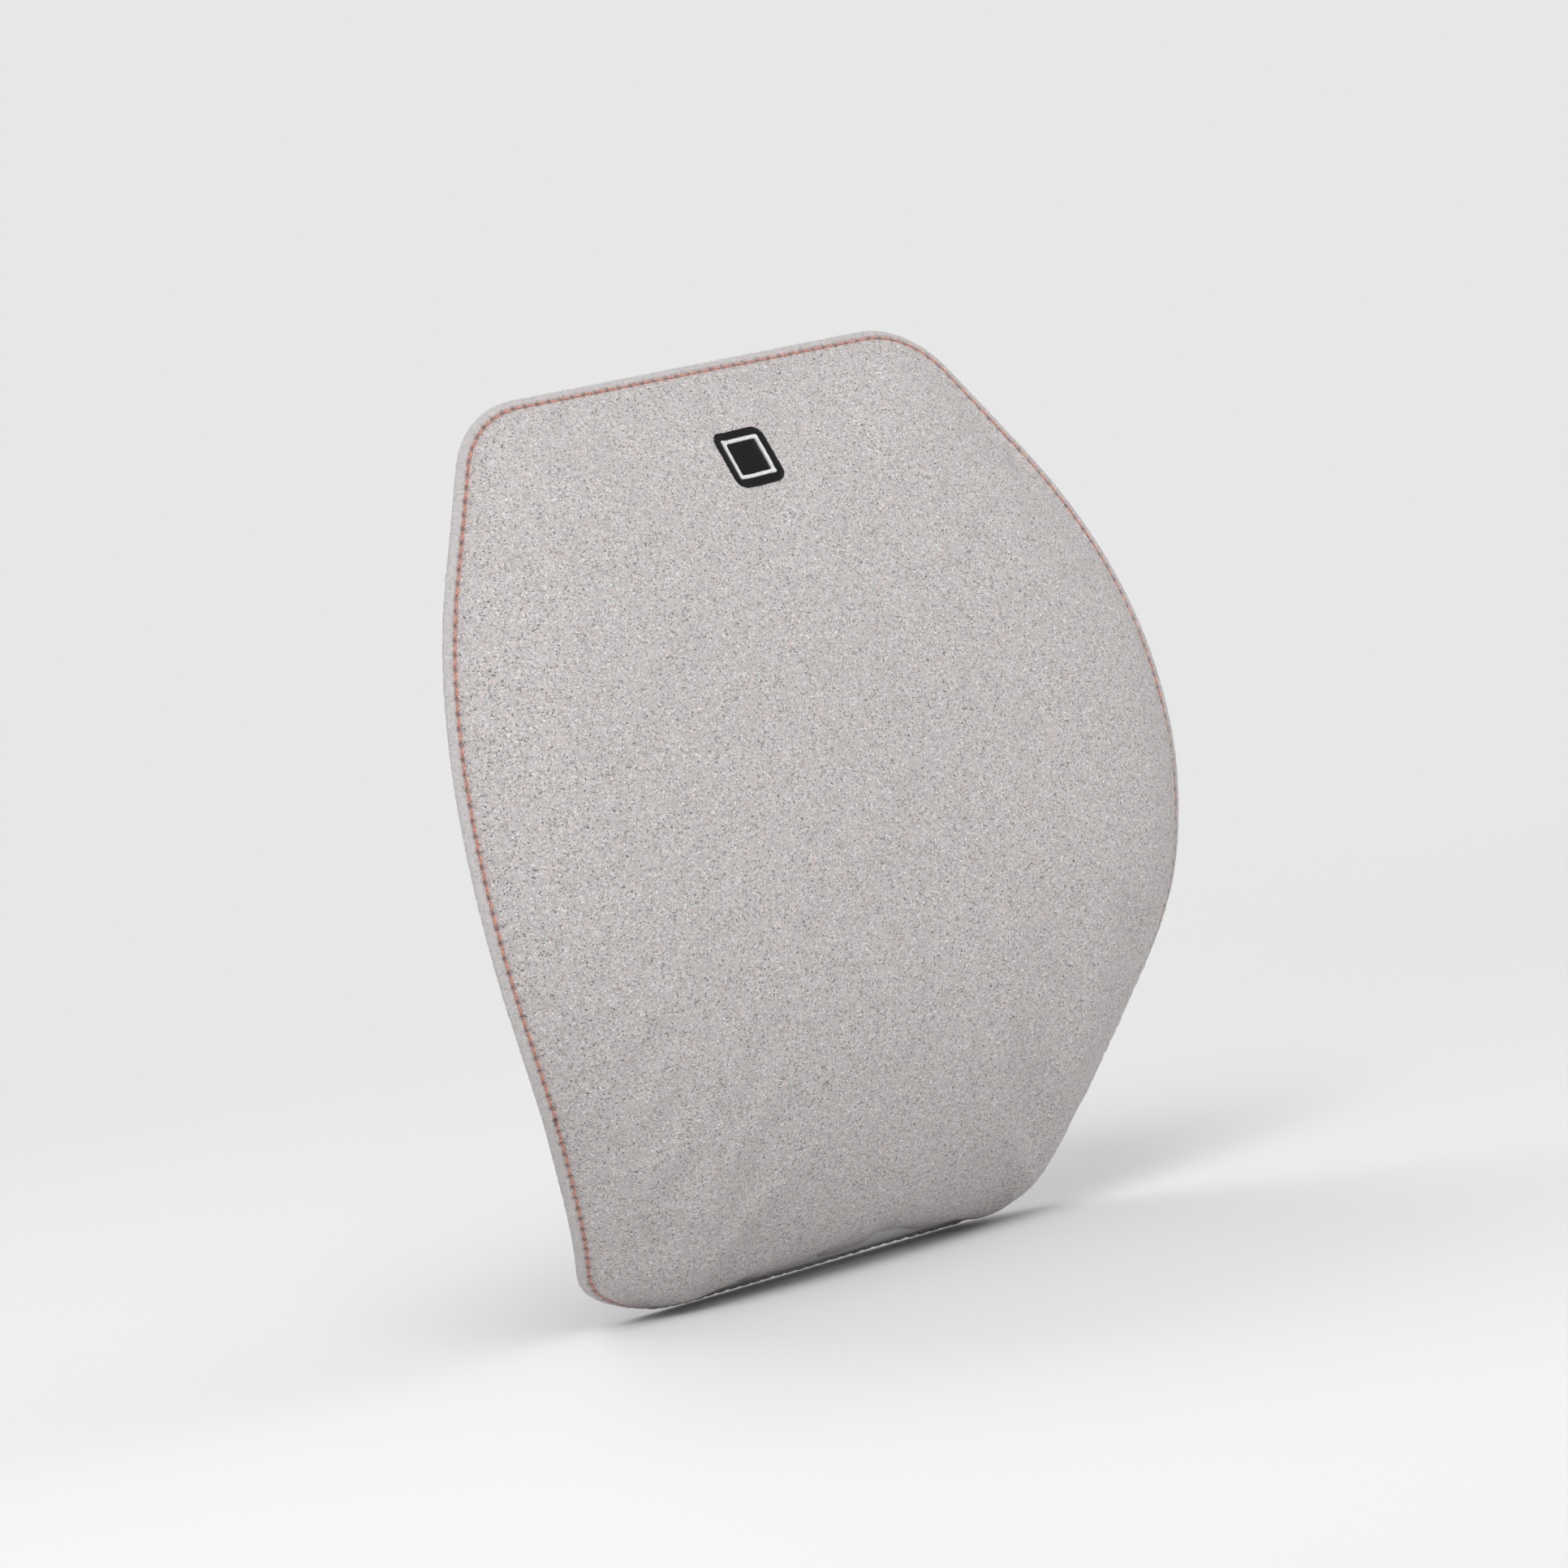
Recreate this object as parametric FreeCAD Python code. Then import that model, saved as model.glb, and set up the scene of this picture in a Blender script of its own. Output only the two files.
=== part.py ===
"""Lumbar support cushion: a bowed, knife-edged pad with a topstitched felt face and a zipped back.

Millimetres, +Z up the pad's height, front face towards -Y, X across the width.
The origin is the middle of the part's box. The covers are sewn together in a bowed sheet that runs in front of it.
The pad is straight across its width and bowed up its height, to follow a chair's lumbar curve.
A place on the pad is (u, v, h): u across, v up the sheet from its bottom, h out of the sheet towards the front.
"""

import FreeCAD
import Part

import math
import os

from FreeCAD import Vector

os.makedirs("parts", exist_ok=True)

# ---- driving dimensions ------------------------------------------------------------------------

# outline of the stitch line that joins front and back, measured on the bowed sheet
SEAM_HEIGHT = 354.0
SEAM_TOP_HALF = 104.0
SEAM_WIDE_HALF = 188.0
SEAM_WIDE_UP = 206.0
SEAM_BOTTOM_HALF = 102.0
TOP_CORNER_R = 36.0
HIP_R = 212.0
BOTTOM_CORNER_R = 40.0
RIM = 5.5

# middle of the part's box, behind and above the middle of the bowed sheet
ORIGIN_BACK = 30.8
ORIGIN_UP = 8.653

# bow of the sheet: its tilt is BOW_1 * s + BOW_2 * s^2 radians, s from -1 at the bottom to 1 at the top
BOW_1 = 0.60
BOW_2 = -0.31

# the lower side corners turn back from the sheet: how far, below which height and over how much height,
# and from which share of the half width, over how much more of it
TURN_BACK = 6.0
TURN_BELOW = 134.0
TURN_RISE = 72.0
TURN_FROM = 0.68
TURN_SPAN = 0.40

# crown of the front, and depth of the back, both rising from the knife edge
EDGE_BACKSET = 4.0
CROWN_MIDDLE = 16.0
CROWN_GAIN_DOWN = 0.35
CROWN_RUN = 65.0
BACK_DEPTH = 12.0
BACK_RUN = 36.0

# fabrics and fillings
FACE_CLOTH = 1.6
BACK_CLOTH = 1.2
LINER = 0.8
WADDING = 4.0
BOARD = 2.4
CORE_FOAM = 5.8
CLEAR = 0.1
LAYER_GAP = 0.8
LINER_INSET = 15.0
WADDING_INSET = 17.0
FOAM_INSET = 18.5
CORE_INSET = 24.0
BACK_LINER_INSET = 26.0
BOARD_INSET = 30.0

# topstitching
THREAD = 0.8
THREAD_LIFT = 0.1
TOPSTITCH_LIFT = 0.15
STITCH_PITCH = 5.5
STITCH_SHARE = 0.8

# embroidered badge on the face
BADGE_SIDE = 23.0
BADGE_CORNER_R = 4.0
BADGE_DOWN = 38.0
BADGE_RING_INSET = 3.2
BADGE_RING_WIDTH = 1.8
BADGE_RING_CORNER_R = 3.0
BADGE_MIDDLE_CORNER_R = 2.0
BADGE_HEIGHT = 0.9

# zip across the lower back
ZIP_UP = 100.0
ZIP_HALF_LENGTH = 92.0
ZIP_SLOT_HALF = 5.0
TAPE_THICK = 0.6
TAPE_WIDTH = 13.0
COIL_GAP_HALF = 0.6
COIL_WIDTH = 2.2
COIL_THICK = 1.6
STOP_LENGTH = 3.0
SLIDER_LENGTH = 13.0
SLIDER_HALF_WIDTH = 4.4
SLIDER_TOP_PLATE = 1.2
SLIDER_BOTTOM_PLATE = 1.0
SLIDER_PLAY = 0.2
SLIDER_NECK_HALF = 0.45
SLIDER_NECK_LENGTH = 4.0
SLIDER_NECK_SETBACK = 1.0
SLIDER_CORNER_R = 2.4
SLIDER_FLANGE_GAP = 0.4
SLIDER_END_GAP = 0.5
BAIL_HALF_LENGTH = 3.4
BAIL_LEG = 1.2
BAIL_WIDTH = 1.6
BAIL_RISE = 4.6
BAIL_CORNER_R = 1.8
PULL_PIN_R = 0.8
PULL_AXIS_RISE = 2.1
PULL_ARM_HALF = 3.4
PULL_ARM_WIDTH = 1.2
PULL_ARM_LENGTH = 5.6
PULL_LENGTH = 26.0
PULL_HALF_WIDTH = 4.0
PULL_THICK = 1.4
PULL_CORNER_R = 2.0
PULL_HOLE_R = 1.8
PULL_HOLE_FROM_END = 5.0
PULL_ARM_OVERLAP = 1.0
STITCH_FROM_ZIP = 8.0

# hook-tape strips that hold the pad to a chair, and the care label
HOOK_WIDTH = 25.0
HOOK_HALF_LENGTH = 80.0
HOOK_LOWER_HALF_LENGTH = 95.0
HOOK_THICK = 1.7
HOOK_BASE = 0.7
HOOK_SELVEDGE = 3.4
HOOK_UPPER_UP = 282.0
HOOK_LOWER_UP = 150.0
HOOK_STITCH_INSET = 1.4
HOOK_CORNER_R = 3.0
LABEL_WIDTH = 32.0
LABEL_HEIGHT = 22.0
LABEL_THICK = 0.5
LABEL_X = 58.0
LABEL_UP = 66.0

# sampling of the smooth shapes
OUTLINE_POINTS = 240
ARC_STEPS = 24
BOW_STEPS = 120
GRID = 31
STRIP_STEP = 12.0
CUT_REACH = 10.0
REACH = 300.0

# ---- places that follow from them --------------------------------------------------------------

BACK_INNER = EDGE_BACKSET + CLEAR + BACK_DEPTH
BACK_OUTER = BACK_INNER + BACK_CLOTH
TAPE_OUT = BACK_INNER - CLEAR
TAPE_IN = TAPE_OUT - TAPE_THICK
COIL_IN = BACK_INNER
COIL_OUT = COIL_IN + COIL_THICK
SLIDER_TOP_IN = COIL_OUT + SLIDER_PLAY
SLIDER_TOP_OUT = SLIDER_TOP_IN + SLIDER_TOP_PLATE
SLIDER_LOW_OUT = TAPE_IN - SLIDER_PLAY
SLIDER_LOW_IN = SLIDER_LOW_OUT - SLIDER_BOTTOM_PLATE
LINER_OUT = SLIDER_LOW_IN - 3 * CLEAR
LINER_IN = LINER_OUT - LINER
BOARD_OUT = LINER_IN - CLEAR
BOARD_IN = BOARD_OUT - BOARD
CORE_OUT = BOARD_IN - CLEAR
CORE_IN = CORE_OUT - CORE_FOAM
PULL_AXIS = SLIDER_TOP_OUT + PULL_AXIS_RISE


# ---- the bowed sheet ---------------------------------------------------------------------------


def tilt(v):
    """Lean of the sheet at height v along it, in radians; positive leans back going up."""
    s = 2.0 * v / SEAM_HEIGHT - 1.0
    return BOW_1 * s + BOW_2 * s * s


def sheet(v):
    """(y, z) of the sheet at height v along it, by adding up small steps from its middle."""
    middle = SEAM_HEIGHT / 2.0
    step = (v - middle) / BOW_STEPS
    y = 0.0
    z = 0.0
    for k in range(BOW_STEPS):
        angle = tilt(middle + (k + 0.5) * step)
        y += math.sin(angle) * step
        z += math.cos(angle) * step
    return y - ORIGIN_BACK, z - ORIGIN_UP


def place(u, v, h):
    """The point at (u, v) on the sheet, h out towards the front."""
    y, z = sheet(v)
    angle = tilt(v)
    return Vector(u, y - h * math.cos(angle), z + h * math.sin(angle))


def spaced(low, high, count):
    """count values from low to high."""
    return [low + (high - low) * k / (count - 1) for k in range(count)]


def depth_at(depth, v):
    """A depth given as a number, or as a function of v."""
    return depth(v) if callable(depth) else depth


# ---- outline -----------------------------------------------------------------------------------


def offset_corner(before, corner, after, distance):
    """Where the two lines through corner meet once both have moved right of their way by distance."""
    shifted = []
    for (ax, ay), (bx, by) in ((before, corner), (corner, after)):
        length = math.hypot(bx - ax, by - ay)
        nx, ny = (by - ay) / length, (ax - bx) / length
        shifted.append((nx, ny, nx * ax + ny * ay + distance))
    (a, b, c), (d, e, f) = shifted
    size = a * e - b * d
    return (c * e - b * f) / size, (a * f - c * d) / size


def corner_arc(before, corner, after, radius):
    """ARC_STEPS + 1 points of the arc that rounds a corner."""
    ways = []
    for x, y in (before, after):
        length = math.hypot(x - corner[0], y - corner[1])
        ways.append(((x - corner[0]) / length, (y - corner[1]) / length))
    (px, py), (qx, qy) = ways
    half = math.acos(px * qx + py * qy) / 2.0
    bx, by = px + qx, py + qy
    far = radius / math.sin(half) / math.hypot(bx, by)
    cx, cy = corner[0] + bx * far, corner[1] + by * far
    run = radius / math.tan(half)
    start = math.atan2(corner[1] + py * run - cy, corner[0] + px * run - cx)
    end = math.atan2(corner[1] + qy * run - cy, corner[0] + qx * run - cx)
    turn = (end - start + math.pi) % (2.0 * math.pi) - math.pi
    angles = [start + turn * k / ARC_STEPS for k in range(ARC_STEPS + 1)]
    return [(cx + radius * math.cos(t), cy + radius * math.sin(t)) for t in angles]


def right_outline(inset):
    """(bottom, side, top): the right half of the outline, split at the middles of its corners."""
    out = RIM - inset
    mirror_low, mirror_high = (-SEAM_BOTTOM_HALF, 0.0), (-SEAM_TOP_HALF, SEAM_HEIGHT)
    low, wide = (SEAM_BOTTOM_HALF, 0.0), (SEAM_WIDE_HALF, SEAM_WIDE_UP)
    high = (SEAM_TOP_HALF, SEAM_HEIGHT)
    low_out = offset_corner(mirror_low, low, wide, out)
    wide_out = offset_corner(low, wide, high, out)
    high_out = offset_corner(wide, high, mirror_high, out)
    start, end = (0.0, low_out[1]), (0.0, high_out[1])
    first = corner_arc(start, low_out, wide_out, BOTTOM_CORNER_R + out)
    second = corner_arc(low_out, wide_out, high_out, HIP_R + out)
    third = corner_arc(wide_out, high_out, end, TOP_CORNER_R + out)
    half = ARC_STEPS // 2
    side = first[half:] + second + third[: half + 1]
    return [start] + first[: half + 1], side, third[half:] + [end]


def evenly(path, count):
    """count points spaced evenly along an open path, both ends included."""
    lengths = [math.dist(path[k], path[k + 1]) for k in range(len(path) - 1)]
    total = sum(lengths)
    points = []
    k = 0
    passed = 0.0
    for j in range(count):
        target = total * j / (count - 1)
        while k < len(lengths) - 1 and passed + lengths[k] < target:
            passed += lengths[k]
            k += 1
        share = (target - passed) / lengths[k]
        (ax, ay), (bx, by) = path[k], path[k + 1]
        points.append((ax + (bx - ax) * share, ay + (by - ay) * share))
    return points


def mirrored(path):
    """The path on the other half, walked from its mirrored end."""
    return [(-u, v) for u, v in reversed(path)]


def cut_path(path, low, high):
    """The part of a rising path between heights low and high."""
    kept = []
    for k in range(len(path) - 1):
        (au, av), (bu, bv) = path[k], path[k + 1]
        for limit in (low, high):
            if av < limit < bv:
                kept.append((au + (bu - au) * (limit - av) / (bv - av), limit))
        if low <= bv <= high:
            kept.append((bu, bv))
    return kept


def four_sides(inset, low=None, high=None):
    """(bottom, right, top, left) of the outline, as whole or cut straight across at low or high."""
    bottom, side, top = right_outline(inset)
    bottom = mirrored(bottom)[:-1] + bottom
    top = top[:-1] + mirrored(top)
    top.reverse()
    if low is not None:
        side = cut_path(side, low, SEAM_HEIGHT + RIM)
        bottom = [(-side[0][0], low), (side[0][0], low)]
    if high is not None:
        side = cut_path(side, -RIM, high)
        top = [(-side[-1][0], high), (side[-1][0], high)]
    if low is None:
        side = [bottom[-1]] + [p for p in side if p != bottom[-1]]
    return bottom, side, top, [(-u, v) for u, v in side]


def seam_loop(inset, count):
    """The outline at inset as a closed loop of evenly spaced (u, v), starting at the middle of the bottom."""
    bottom, side, top = right_outline(inset)
    right = bottom + side[1:] + top[1:]
    return evenly(right + mirrored(right)[1:], count + 1)[:-1]


SEAM = seam_loop(RIM, OUTLINE_POINTS)


def from_edge(u, v):
    """Distance inwards from the pad's outer edge, negative outside it."""
    nearest = 1e9
    inside = False
    for k in range(len(SEAM)):
        (ax, ay), (bx, by) = SEAM[k - 1], SEAM[k]
        dx, dy = bx - ax, by - ay
        share = ((u - ax) * dx + (v - ay) * dy) / (dx * dx + dy * dy)
        share = min(1.0, max(0.0, share))
        nearest = min(nearest, math.hypot(u - ax - share * dx, v - ay - share * dy))
        if (ay > v) != (by > v) and u < ax + (v - ay) / dy * dx:
            inside = not inside
    return RIM + (nearest if inside else -nearest)


# ---- crowned surfaces ----------------------------------------------------------------------------


def swell(edge, run):
    """0 at the knife edge, rising smoothly to 1 at run in from it."""
    return 1.0 - (1.0 - min(1.0, max(0.0, edge / run))) ** 3


def eased(x):
    """0 below 0 and 1 above 1, with a smooth rise between."""
    x = min(1.0, max(0.0, x))
    return x * x * (3.0 - 2.0 * x)


SIDE = right_outline(RIM)[1]


def half_width(v):
    """Half the width between the side stitch lines at height v."""
    for (au, av), (bu, bv) in zip(SIDE, SIDE[1:]):
        if v < bv:
            return au + (bu - au) * max(0.0, (v - av) / (bv - av))
    return SIDE[-1][0]


def turned_back(u, v):
    """How far the pad's lower side corners turn back from the sheet."""
    beyond = (abs(u) / half_width(v) - TURN_FROM) / TURN_SPAN
    return TURN_BACK * eased((TURN_BELOW - v) / TURN_RISE) * eased(beyond)


def crown(u, v, edge):
    """Height of the inside of the front cover above the sheet."""
    s = 2.0 * v / SEAM_HEIGHT - 1.0
    rise = CROWN_MIDDLE * (1.0 - CROWN_GAIN_DOWN * s)
    return rise * swell(edge, CROWN_RUN) - EDGE_BACKSET - turned_back(u, v)


def hollow(u, v, edge):
    """Height of the inside of the back cover, a negative number."""
    return -EDGE_BACKSET - CLEAR - BACK_DEPTH * swell(edge, BACK_RUN) - turned_back(u, v)


def level(u, v, edge):
    """The sheet itself."""
    return 0.0


def grid_of(sides):
    """A GRID by GRID net of (u, v, distance from the edge) filling the shape between four sides."""
    bottom, right, top, left = [evenly(path, GRID) for path in sides]
    net = []
    for i in range(GRID):
        s = i / (GRID - 1.0)
        row = []
        for j in range(GRID):
            t = j / (GRID - 1.0)
            point = []
            for c in (0, 1):
                across = (1 - t) * bottom[i][c] + t * top[i][c]
                along = (1 - s) * left[j][c] + s * right[j][c]
                low = (1 - s) * bottom[0][c] + s * bottom[-1][c]
                high = (1 - s) * top[0][c] + s * top[-1][c]
                point.append(across + along - (1 - t) * low - t * high)
            row.append((point[0], point[1], from_edge(*point)))
        net.append(row)
    return net


def skin(net, height, offset):
    """The surface height(u, v, edge) + offset over a net."""
    rows = []
    for row in net:
        rows.append([place(u, v, height(u, v, edge) + offset) for u, v, edge in row])
    surface = Part.BSplineSurface()
    surface.interpolate(rows)
    return surface


def between(sides, front, front_offset, rear, rear_offset):
    """The closed solid between two surfaces over the shape with those four sides."""
    net = grid_of(sides)
    front_face = skin(net, front, front_offset).toShape()
    rear_face = skin(net, rear, rear_offset).toShape()
    faces = [front_face, rear_face]
    for front_edge, rear_edge in zip(front_face.Edges, rear_face.Edges):
        faces.append(Part.makeRuledSurface(front_edge, rear_edge))
    shell = Part.makeShell(faces)
    shell.sewShape()
    solid = Part.makeSolid(shell)
    if solid.Volume < 0:
        solid.reverse()
    return solid


def strip(v0, v1, inner_depth, outer_depth, x0, x1, flat_outside=False):
    """A band that follows the bow from v0 to v1 between two depths behind the sheet, from x0 to x1.
    A depth is a number, or a function of v."""
    count = max(2, int((v1 - v0) / STRIP_STEP) + 1)
    heights = spaced(v0, v1, count + 1)
    inner = [place(x0, v, -depth_at(inner_depth, v)) for v in heights]
    outer = [place(x0, v, -depth_at(outer_depth, v)) for v in reversed(heights)]
    if flat_outside:
        outer = [outer[0], outer[-1]]
    edges = []
    for points in (inner, [inner[-1], outer[0]], outer, [outer[-1], inner[0]]):
        if len(points) == 2:
            edges.append(Part.makeLine(points[0], points[1]))
        else:
            curve = Part.BSplineCurve()
            curve.interpolate(Points=points)
            edges.append(curve.toShape())
    return Part.Face(Part.Wire(edges)).extrude(Vector(x1 - x0, 0, 0))


def only_solids(shape):
    """The shape's solids, as one solid or as a compound of several."""
    solids = shape.Solids
    return solids[0] if len(solids) == 1 else Part.makeCompound(solids)


def save(name, shape):
    """Write one sub-part."""
    shape = only_solids(shape)
    if not shape.isValid():
        shape.fix(0.01, 0.01, 0.01)
    shape.exportStep("parts/" + name + ".step")
    print(name, len(shape.Solids), "solids", round(shape.Volume, 1), "mm3", shape.isValid())


# ---- covers ------------------------------------------------------------------------------------


def front_cover():
    """Felt face of the pad."""
    return between(four_sides(0.0), crown, FACE_CLOTH, crown, 0.0)


def back_panels():
    """The two back panels, meeting at the zip line, with the slot that the zip shows through."""
    slot_half = ZIP_HALF_LENGTH + STOP_LENGTH
    slot_in, slot_out = BACK_INNER - CUT_REACH, BACK_OUTER + CUT_REACH
    slot = strip(ZIP_UP - ZIP_SLOT_HALF, ZIP_UP + ZIP_SLOT_HALF, slot_in, slot_out, -slot_half, slot_half)
    panels = []
    for sides in (four_sides(0.0, low=ZIP_UP + CLEAR / 2), four_sides(0.0, high=ZIP_UP - CLEAR / 2)):
        panels.append(between(sides, hollow, 0.0, hollow, -BACK_CLOTH).cut(slot))
    return panels


def stitch_end(face, at, lift):
    """The point lift above the face's outside, square to it, beside the place (u, v)."""
    u, v = at
    guess = place(u, v, crown(u, v, RIM) + FACE_CLOTH)
    a, b = face.parameter(guess)
    square = face.normal(a, b)
    if square.dot(place(u, v, 1.0) - place(u, v, 0.0)) < 0:
        square = -square
    return face.value(a, b) + square * lift


def topstitch_thread():
    """The stitches round the face, RIM in from the edge, all of one thread."""
    face = skin(grid_of(four_sides(0.0)), crown, FACE_CLOTH)
    girth = sum(math.dist(SEAM[k - 1], SEAM[k]) for k in range(len(SEAM)))
    ends = seam_loop(RIM, round(girth / STITCH_PITCH))
    lift = THREAD / 2 + TOPSTITCH_LIFT
    gap = (1.0 - STITCH_SHARE) / 2
    stitches = []
    for k in range(len(ends)):
        (au, av), (bu, bv) = ends[k - 1], ends[k]
        start = stitch_end(face, (au + (bu - au) * gap, av + (bv - av) * gap), lift)
        end = stitch_end(face, (bu - (bu - au) * gap, bv - (bv - av) * gap), lift)
        way = end - start
        stitches.append(Part.makeCylinder(THREAD / 2, way.Length, start, way))
    return Part.makeCompound(stitches)


# ---- badge -------------------------------------------------------------------------------------


def rounded_square(side, radius, z):
    """A rounded square prism about (0, z), drawn out from front to back through the face."""
    half = side / 2.0
    box = Part.makeBox(side, REACH, side, Vector(-half, -REACH / 2, z - half))
    along = [e for e in box.Edges if e.BoundBox.YLength > REACH / 2]
    return box.makeFillet(radius, along)


def face_depth(v):
    """Depth of the face's outside on the pad's centre line, a negative number in front of the sheet."""
    return -crown(0.0, v, from_edge(0.0, v)) - FACE_CLOTH - THREAD_LIFT


def badge():
    """(black fill, white ring) of a plain embroidered patch."""
    up = SEAM_HEIGHT - BADGE_DOWN
    z = place(0.0, up, -face_depth(up)).z
    half = BADGE_SIDE
    cloth = strip(up - half, up + half, lambda v: face_depth(v) - BADGE_HEIGHT, face_depth, -half, half)
    ring_side = BADGE_SIDE - 2 * BADGE_RING_INSET
    hole_side = ring_side - 2 * BADGE_RING_WIDTH
    outer = rounded_square(BADGE_SIDE, BADGE_CORNER_R, z)
    ring_out = rounded_square(ring_side, BADGE_RING_CORNER_R, z)
    ring_in = rounded_square(hole_side, BADGE_MIDDLE_CORNER_R, z)
    gap_out = rounded_square(ring_side + 2 * CLEAR, BADGE_RING_CORNER_R, z)
    gap_in = rounded_square(hole_side - 2 * CLEAR, BADGE_MIDDLE_CORNER_R, z)
    fill = Part.makeCompound([outer.cut(gap_out).common(cloth), gap_in.common(cloth)])
    return fill, ring_out.cut(ring_in).common(cloth)


# ---- zip ---------------------------------------------------------------------------------------


def zip_tapes():
    """(upper tape, lower tape), lying inside the slot's edges."""
    half = ZIP_HALF_LENGTH + 2 * STOP_LENGTH
    upper = strip(ZIP_UP + COIL_GAP_HALF, ZIP_UP + TAPE_WIDTH, TAPE_IN, TAPE_OUT, -half, half)
    lower = strip(ZIP_UP - TAPE_WIDTH, ZIP_UP - COIL_GAP_HALF, TAPE_IN, TAPE_OUT, -half, half)
    return upper, lower


def zip_coils():
    """(upper coil, lower coil), as plain bars in the coils' space."""
    far = COIL_GAP_HALF + COIL_WIDTH
    upper = strip(ZIP_UP + COIL_GAP_HALF, ZIP_UP + far, COIL_IN, COIL_OUT, -ZIP_HALF_LENGTH, ZIP_HALF_LENGTH)
    lower = strip(ZIP_UP - far, ZIP_UP - COIL_GAP_HALF, COIL_IN, COIL_OUT, -ZIP_HALF_LENGTH, ZIP_HALF_LENGTH)
    return upper, lower


def zip_stops():
    """A stop clamped over the coils at each end of the zip."""
    far = COIL_GAP_HALF + COIL_WIDTH
    stops = []
    for x in (-ZIP_HALF_LENGTH - STOP_LENGTH + CLEAR, ZIP_HALF_LENGTH + CLEAR):
        stops.append(strip(ZIP_UP - far, ZIP_UP + far, COIL_IN, COIL_OUT, x, x + STOP_LENGTH - 2 * CLEAR))
    return Part.makeCompound(stops)


def zip_stitching():
    """A row of stitches above and below the zip, holding its tapes to the back panels."""
    rows = []
    for side in (-1, 1):
        v = ZIP_UP + side * STITCH_FROM_ZIP
        half = ZIP_HALF_LENGTH + STOP_LENGTH
        low = BACK_OUTER + THREAD_LIFT
        rows.append(strip(v - THREAD / 2, v + THREAD / 2, low, low + THREAD / 2, -half, half))
    return Part.makeCompound(rows)


def zip_frame(x):
    """Placement whose x runs along the zip, y up the back's tangent, and z straight out of the back."""
    angle = tilt(ZIP_UP)
    up = Vector(0, math.sin(angle), math.cos(angle))
    out = Vector(0, math.cos(angle), -math.sin(angle))
    along = up.cross(out)
    matrix = FreeCAD.Matrix(along.x, up.x, out.x, 0, along.y, up.y, out.y, 0, along.z, up.z, out.z, 0, 0, 0, 0, 1)
    placement = FreeCAD.Placement(matrix)
    placement.Base = place(x, ZIP_UP, 0.0)
    return placement


def block(x0, x1, y0, y1, z0, z1):
    """A box given by its limits."""
    return Part.makeBox(x1 - x0, y1 - y0, z1 - z0, Vector(x0, y0, z0))


SLIDER_X = -ZIP_HALF_LENGTH + SLIDER_LENGTH / 2 + SLIDER_END_GAP


def plate(half_length, half_width, low, high):
    """A slider plate with rounded corners."""
    shape = block(-half_length, half_length, -half_width, half_width, low, high)
    upright = [e for e in shape.Edges if e.BoundBox.ZLength > (high - low) / 2]
    return shape.makeFillet(SLIDER_CORNER_R, upright)


def zip_slider():
    """Slider: two plates joined by a thin neck between the coils, flanges over them and a bail on top."""
    half = SLIDER_LENGTH / 2
    wide = SLIDER_HALF_WIDTH
    top = plate(half, wide, SLIDER_TOP_IN, SLIDER_TOP_OUT)
    low = plate(half, wide, SLIDER_LOW_IN, SLIDER_LOW_OUT)
    neck_end = half - SLIDER_NECK_SETBACK
    neck = block(neck_end - SLIDER_NECK_LENGTH, neck_end, -SLIDER_NECK_HALF, SLIDER_NECK_HALF, SLIDER_LOW_IN,
                 SLIDER_TOP_OUT)
    body = top.fuse(low).fuse(neck)
    flange_in = COIL_GAP_HALF + COIL_WIDTH + SLIDER_PLAY
    flange_half = half - SLIDER_CORNER_R
    for side in (-1, 1):
        ys = sorted((side * flange_in, side * wide))
        flange = block(-flange_half, flange_half, ys[0], ys[1], COIL_IN + SLIDER_FLANGE_GAP, SLIDER_TOP_OUT)
        body = body.fuse(flange)
    reach = BAIL_HALF_LENGTH
    arch = block(-reach, reach, -BAIL_WIDTH / 2, BAIL_WIDTH / 2, SLIDER_TOP_IN, SLIDER_TOP_OUT + BAIL_RISE)
    corners = [e for e in arch.Edges if e.BoundBox.YLength > BAIL_WIDTH / 2 and e.BoundBox.ZMax > SLIDER_TOP_OUT]
    arch = arch.makeFillet(BAIL_CORNER_R, corners)
    inner = reach - BAIL_LEG
    eye = block(-inner, inner, -BAIL_WIDTH, BAIL_WIDTH, SLIDER_TOP_OUT, SLIDER_TOP_OUT + BAIL_RISE - BAIL_LEG)
    shape = body.fuse(arch.cut(eye)).removeSplitter()
    shape.Placement = zip_frame(SLIDER_X)
    return shape


def zip_pull_tab():
    """Pull: a pin through the bail's eye, two arms and a flat tab with a hole near its end."""
    shape = Part.makeCylinder(PULL_PIN_R, 2 * PULL_ARM_HALF, Vector(0, -PULL_ARM_HALF, PULL_AXIS), Vector(0, 1, 0))
    low = PULL_AXIS - PULL_THICK / 2
    high = PULL_AXIS + PULL_THICK / 2
    for side in (-1, 1):
        ys = sorted((side * (PULL_ARM_HALF - PULL_ARM_WIDTH), side * PULL_ARM_HALF))
        shape = shape.fuse(block(0.0, PULL_ARM_LENGTH + PULL_ARM_OVERLAP, ys[0], ys[1], low, high))
    tab = block(PULL_ARM_LENGTH, PULL_LENGTH, -PULL_HALF_WIDTH, PULL_HALF_WIDTH, low, high)
    corners = [e for e in tab.Edges if e.BoundBox.ZLength > PULL_THICK / 2]
    tab = tab.makeFillet(PULL_CORNER_R, corners)
    below = Vector(PULL_LENGTH - PULL_HOLE_FROM_END, 0, low - PULL_THICK)
    hole = Part.makeCylinder(PULL_HOLE_R, 3 * PULL_THICK, below)
    shape = shape.fuse(tab).cut(hole).removeSplitter()
    shape.Placement = zip_frame(SLIDER_X)
    return shape


# ---- fixings on the back -------------------------------------------------------------------------


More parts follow.
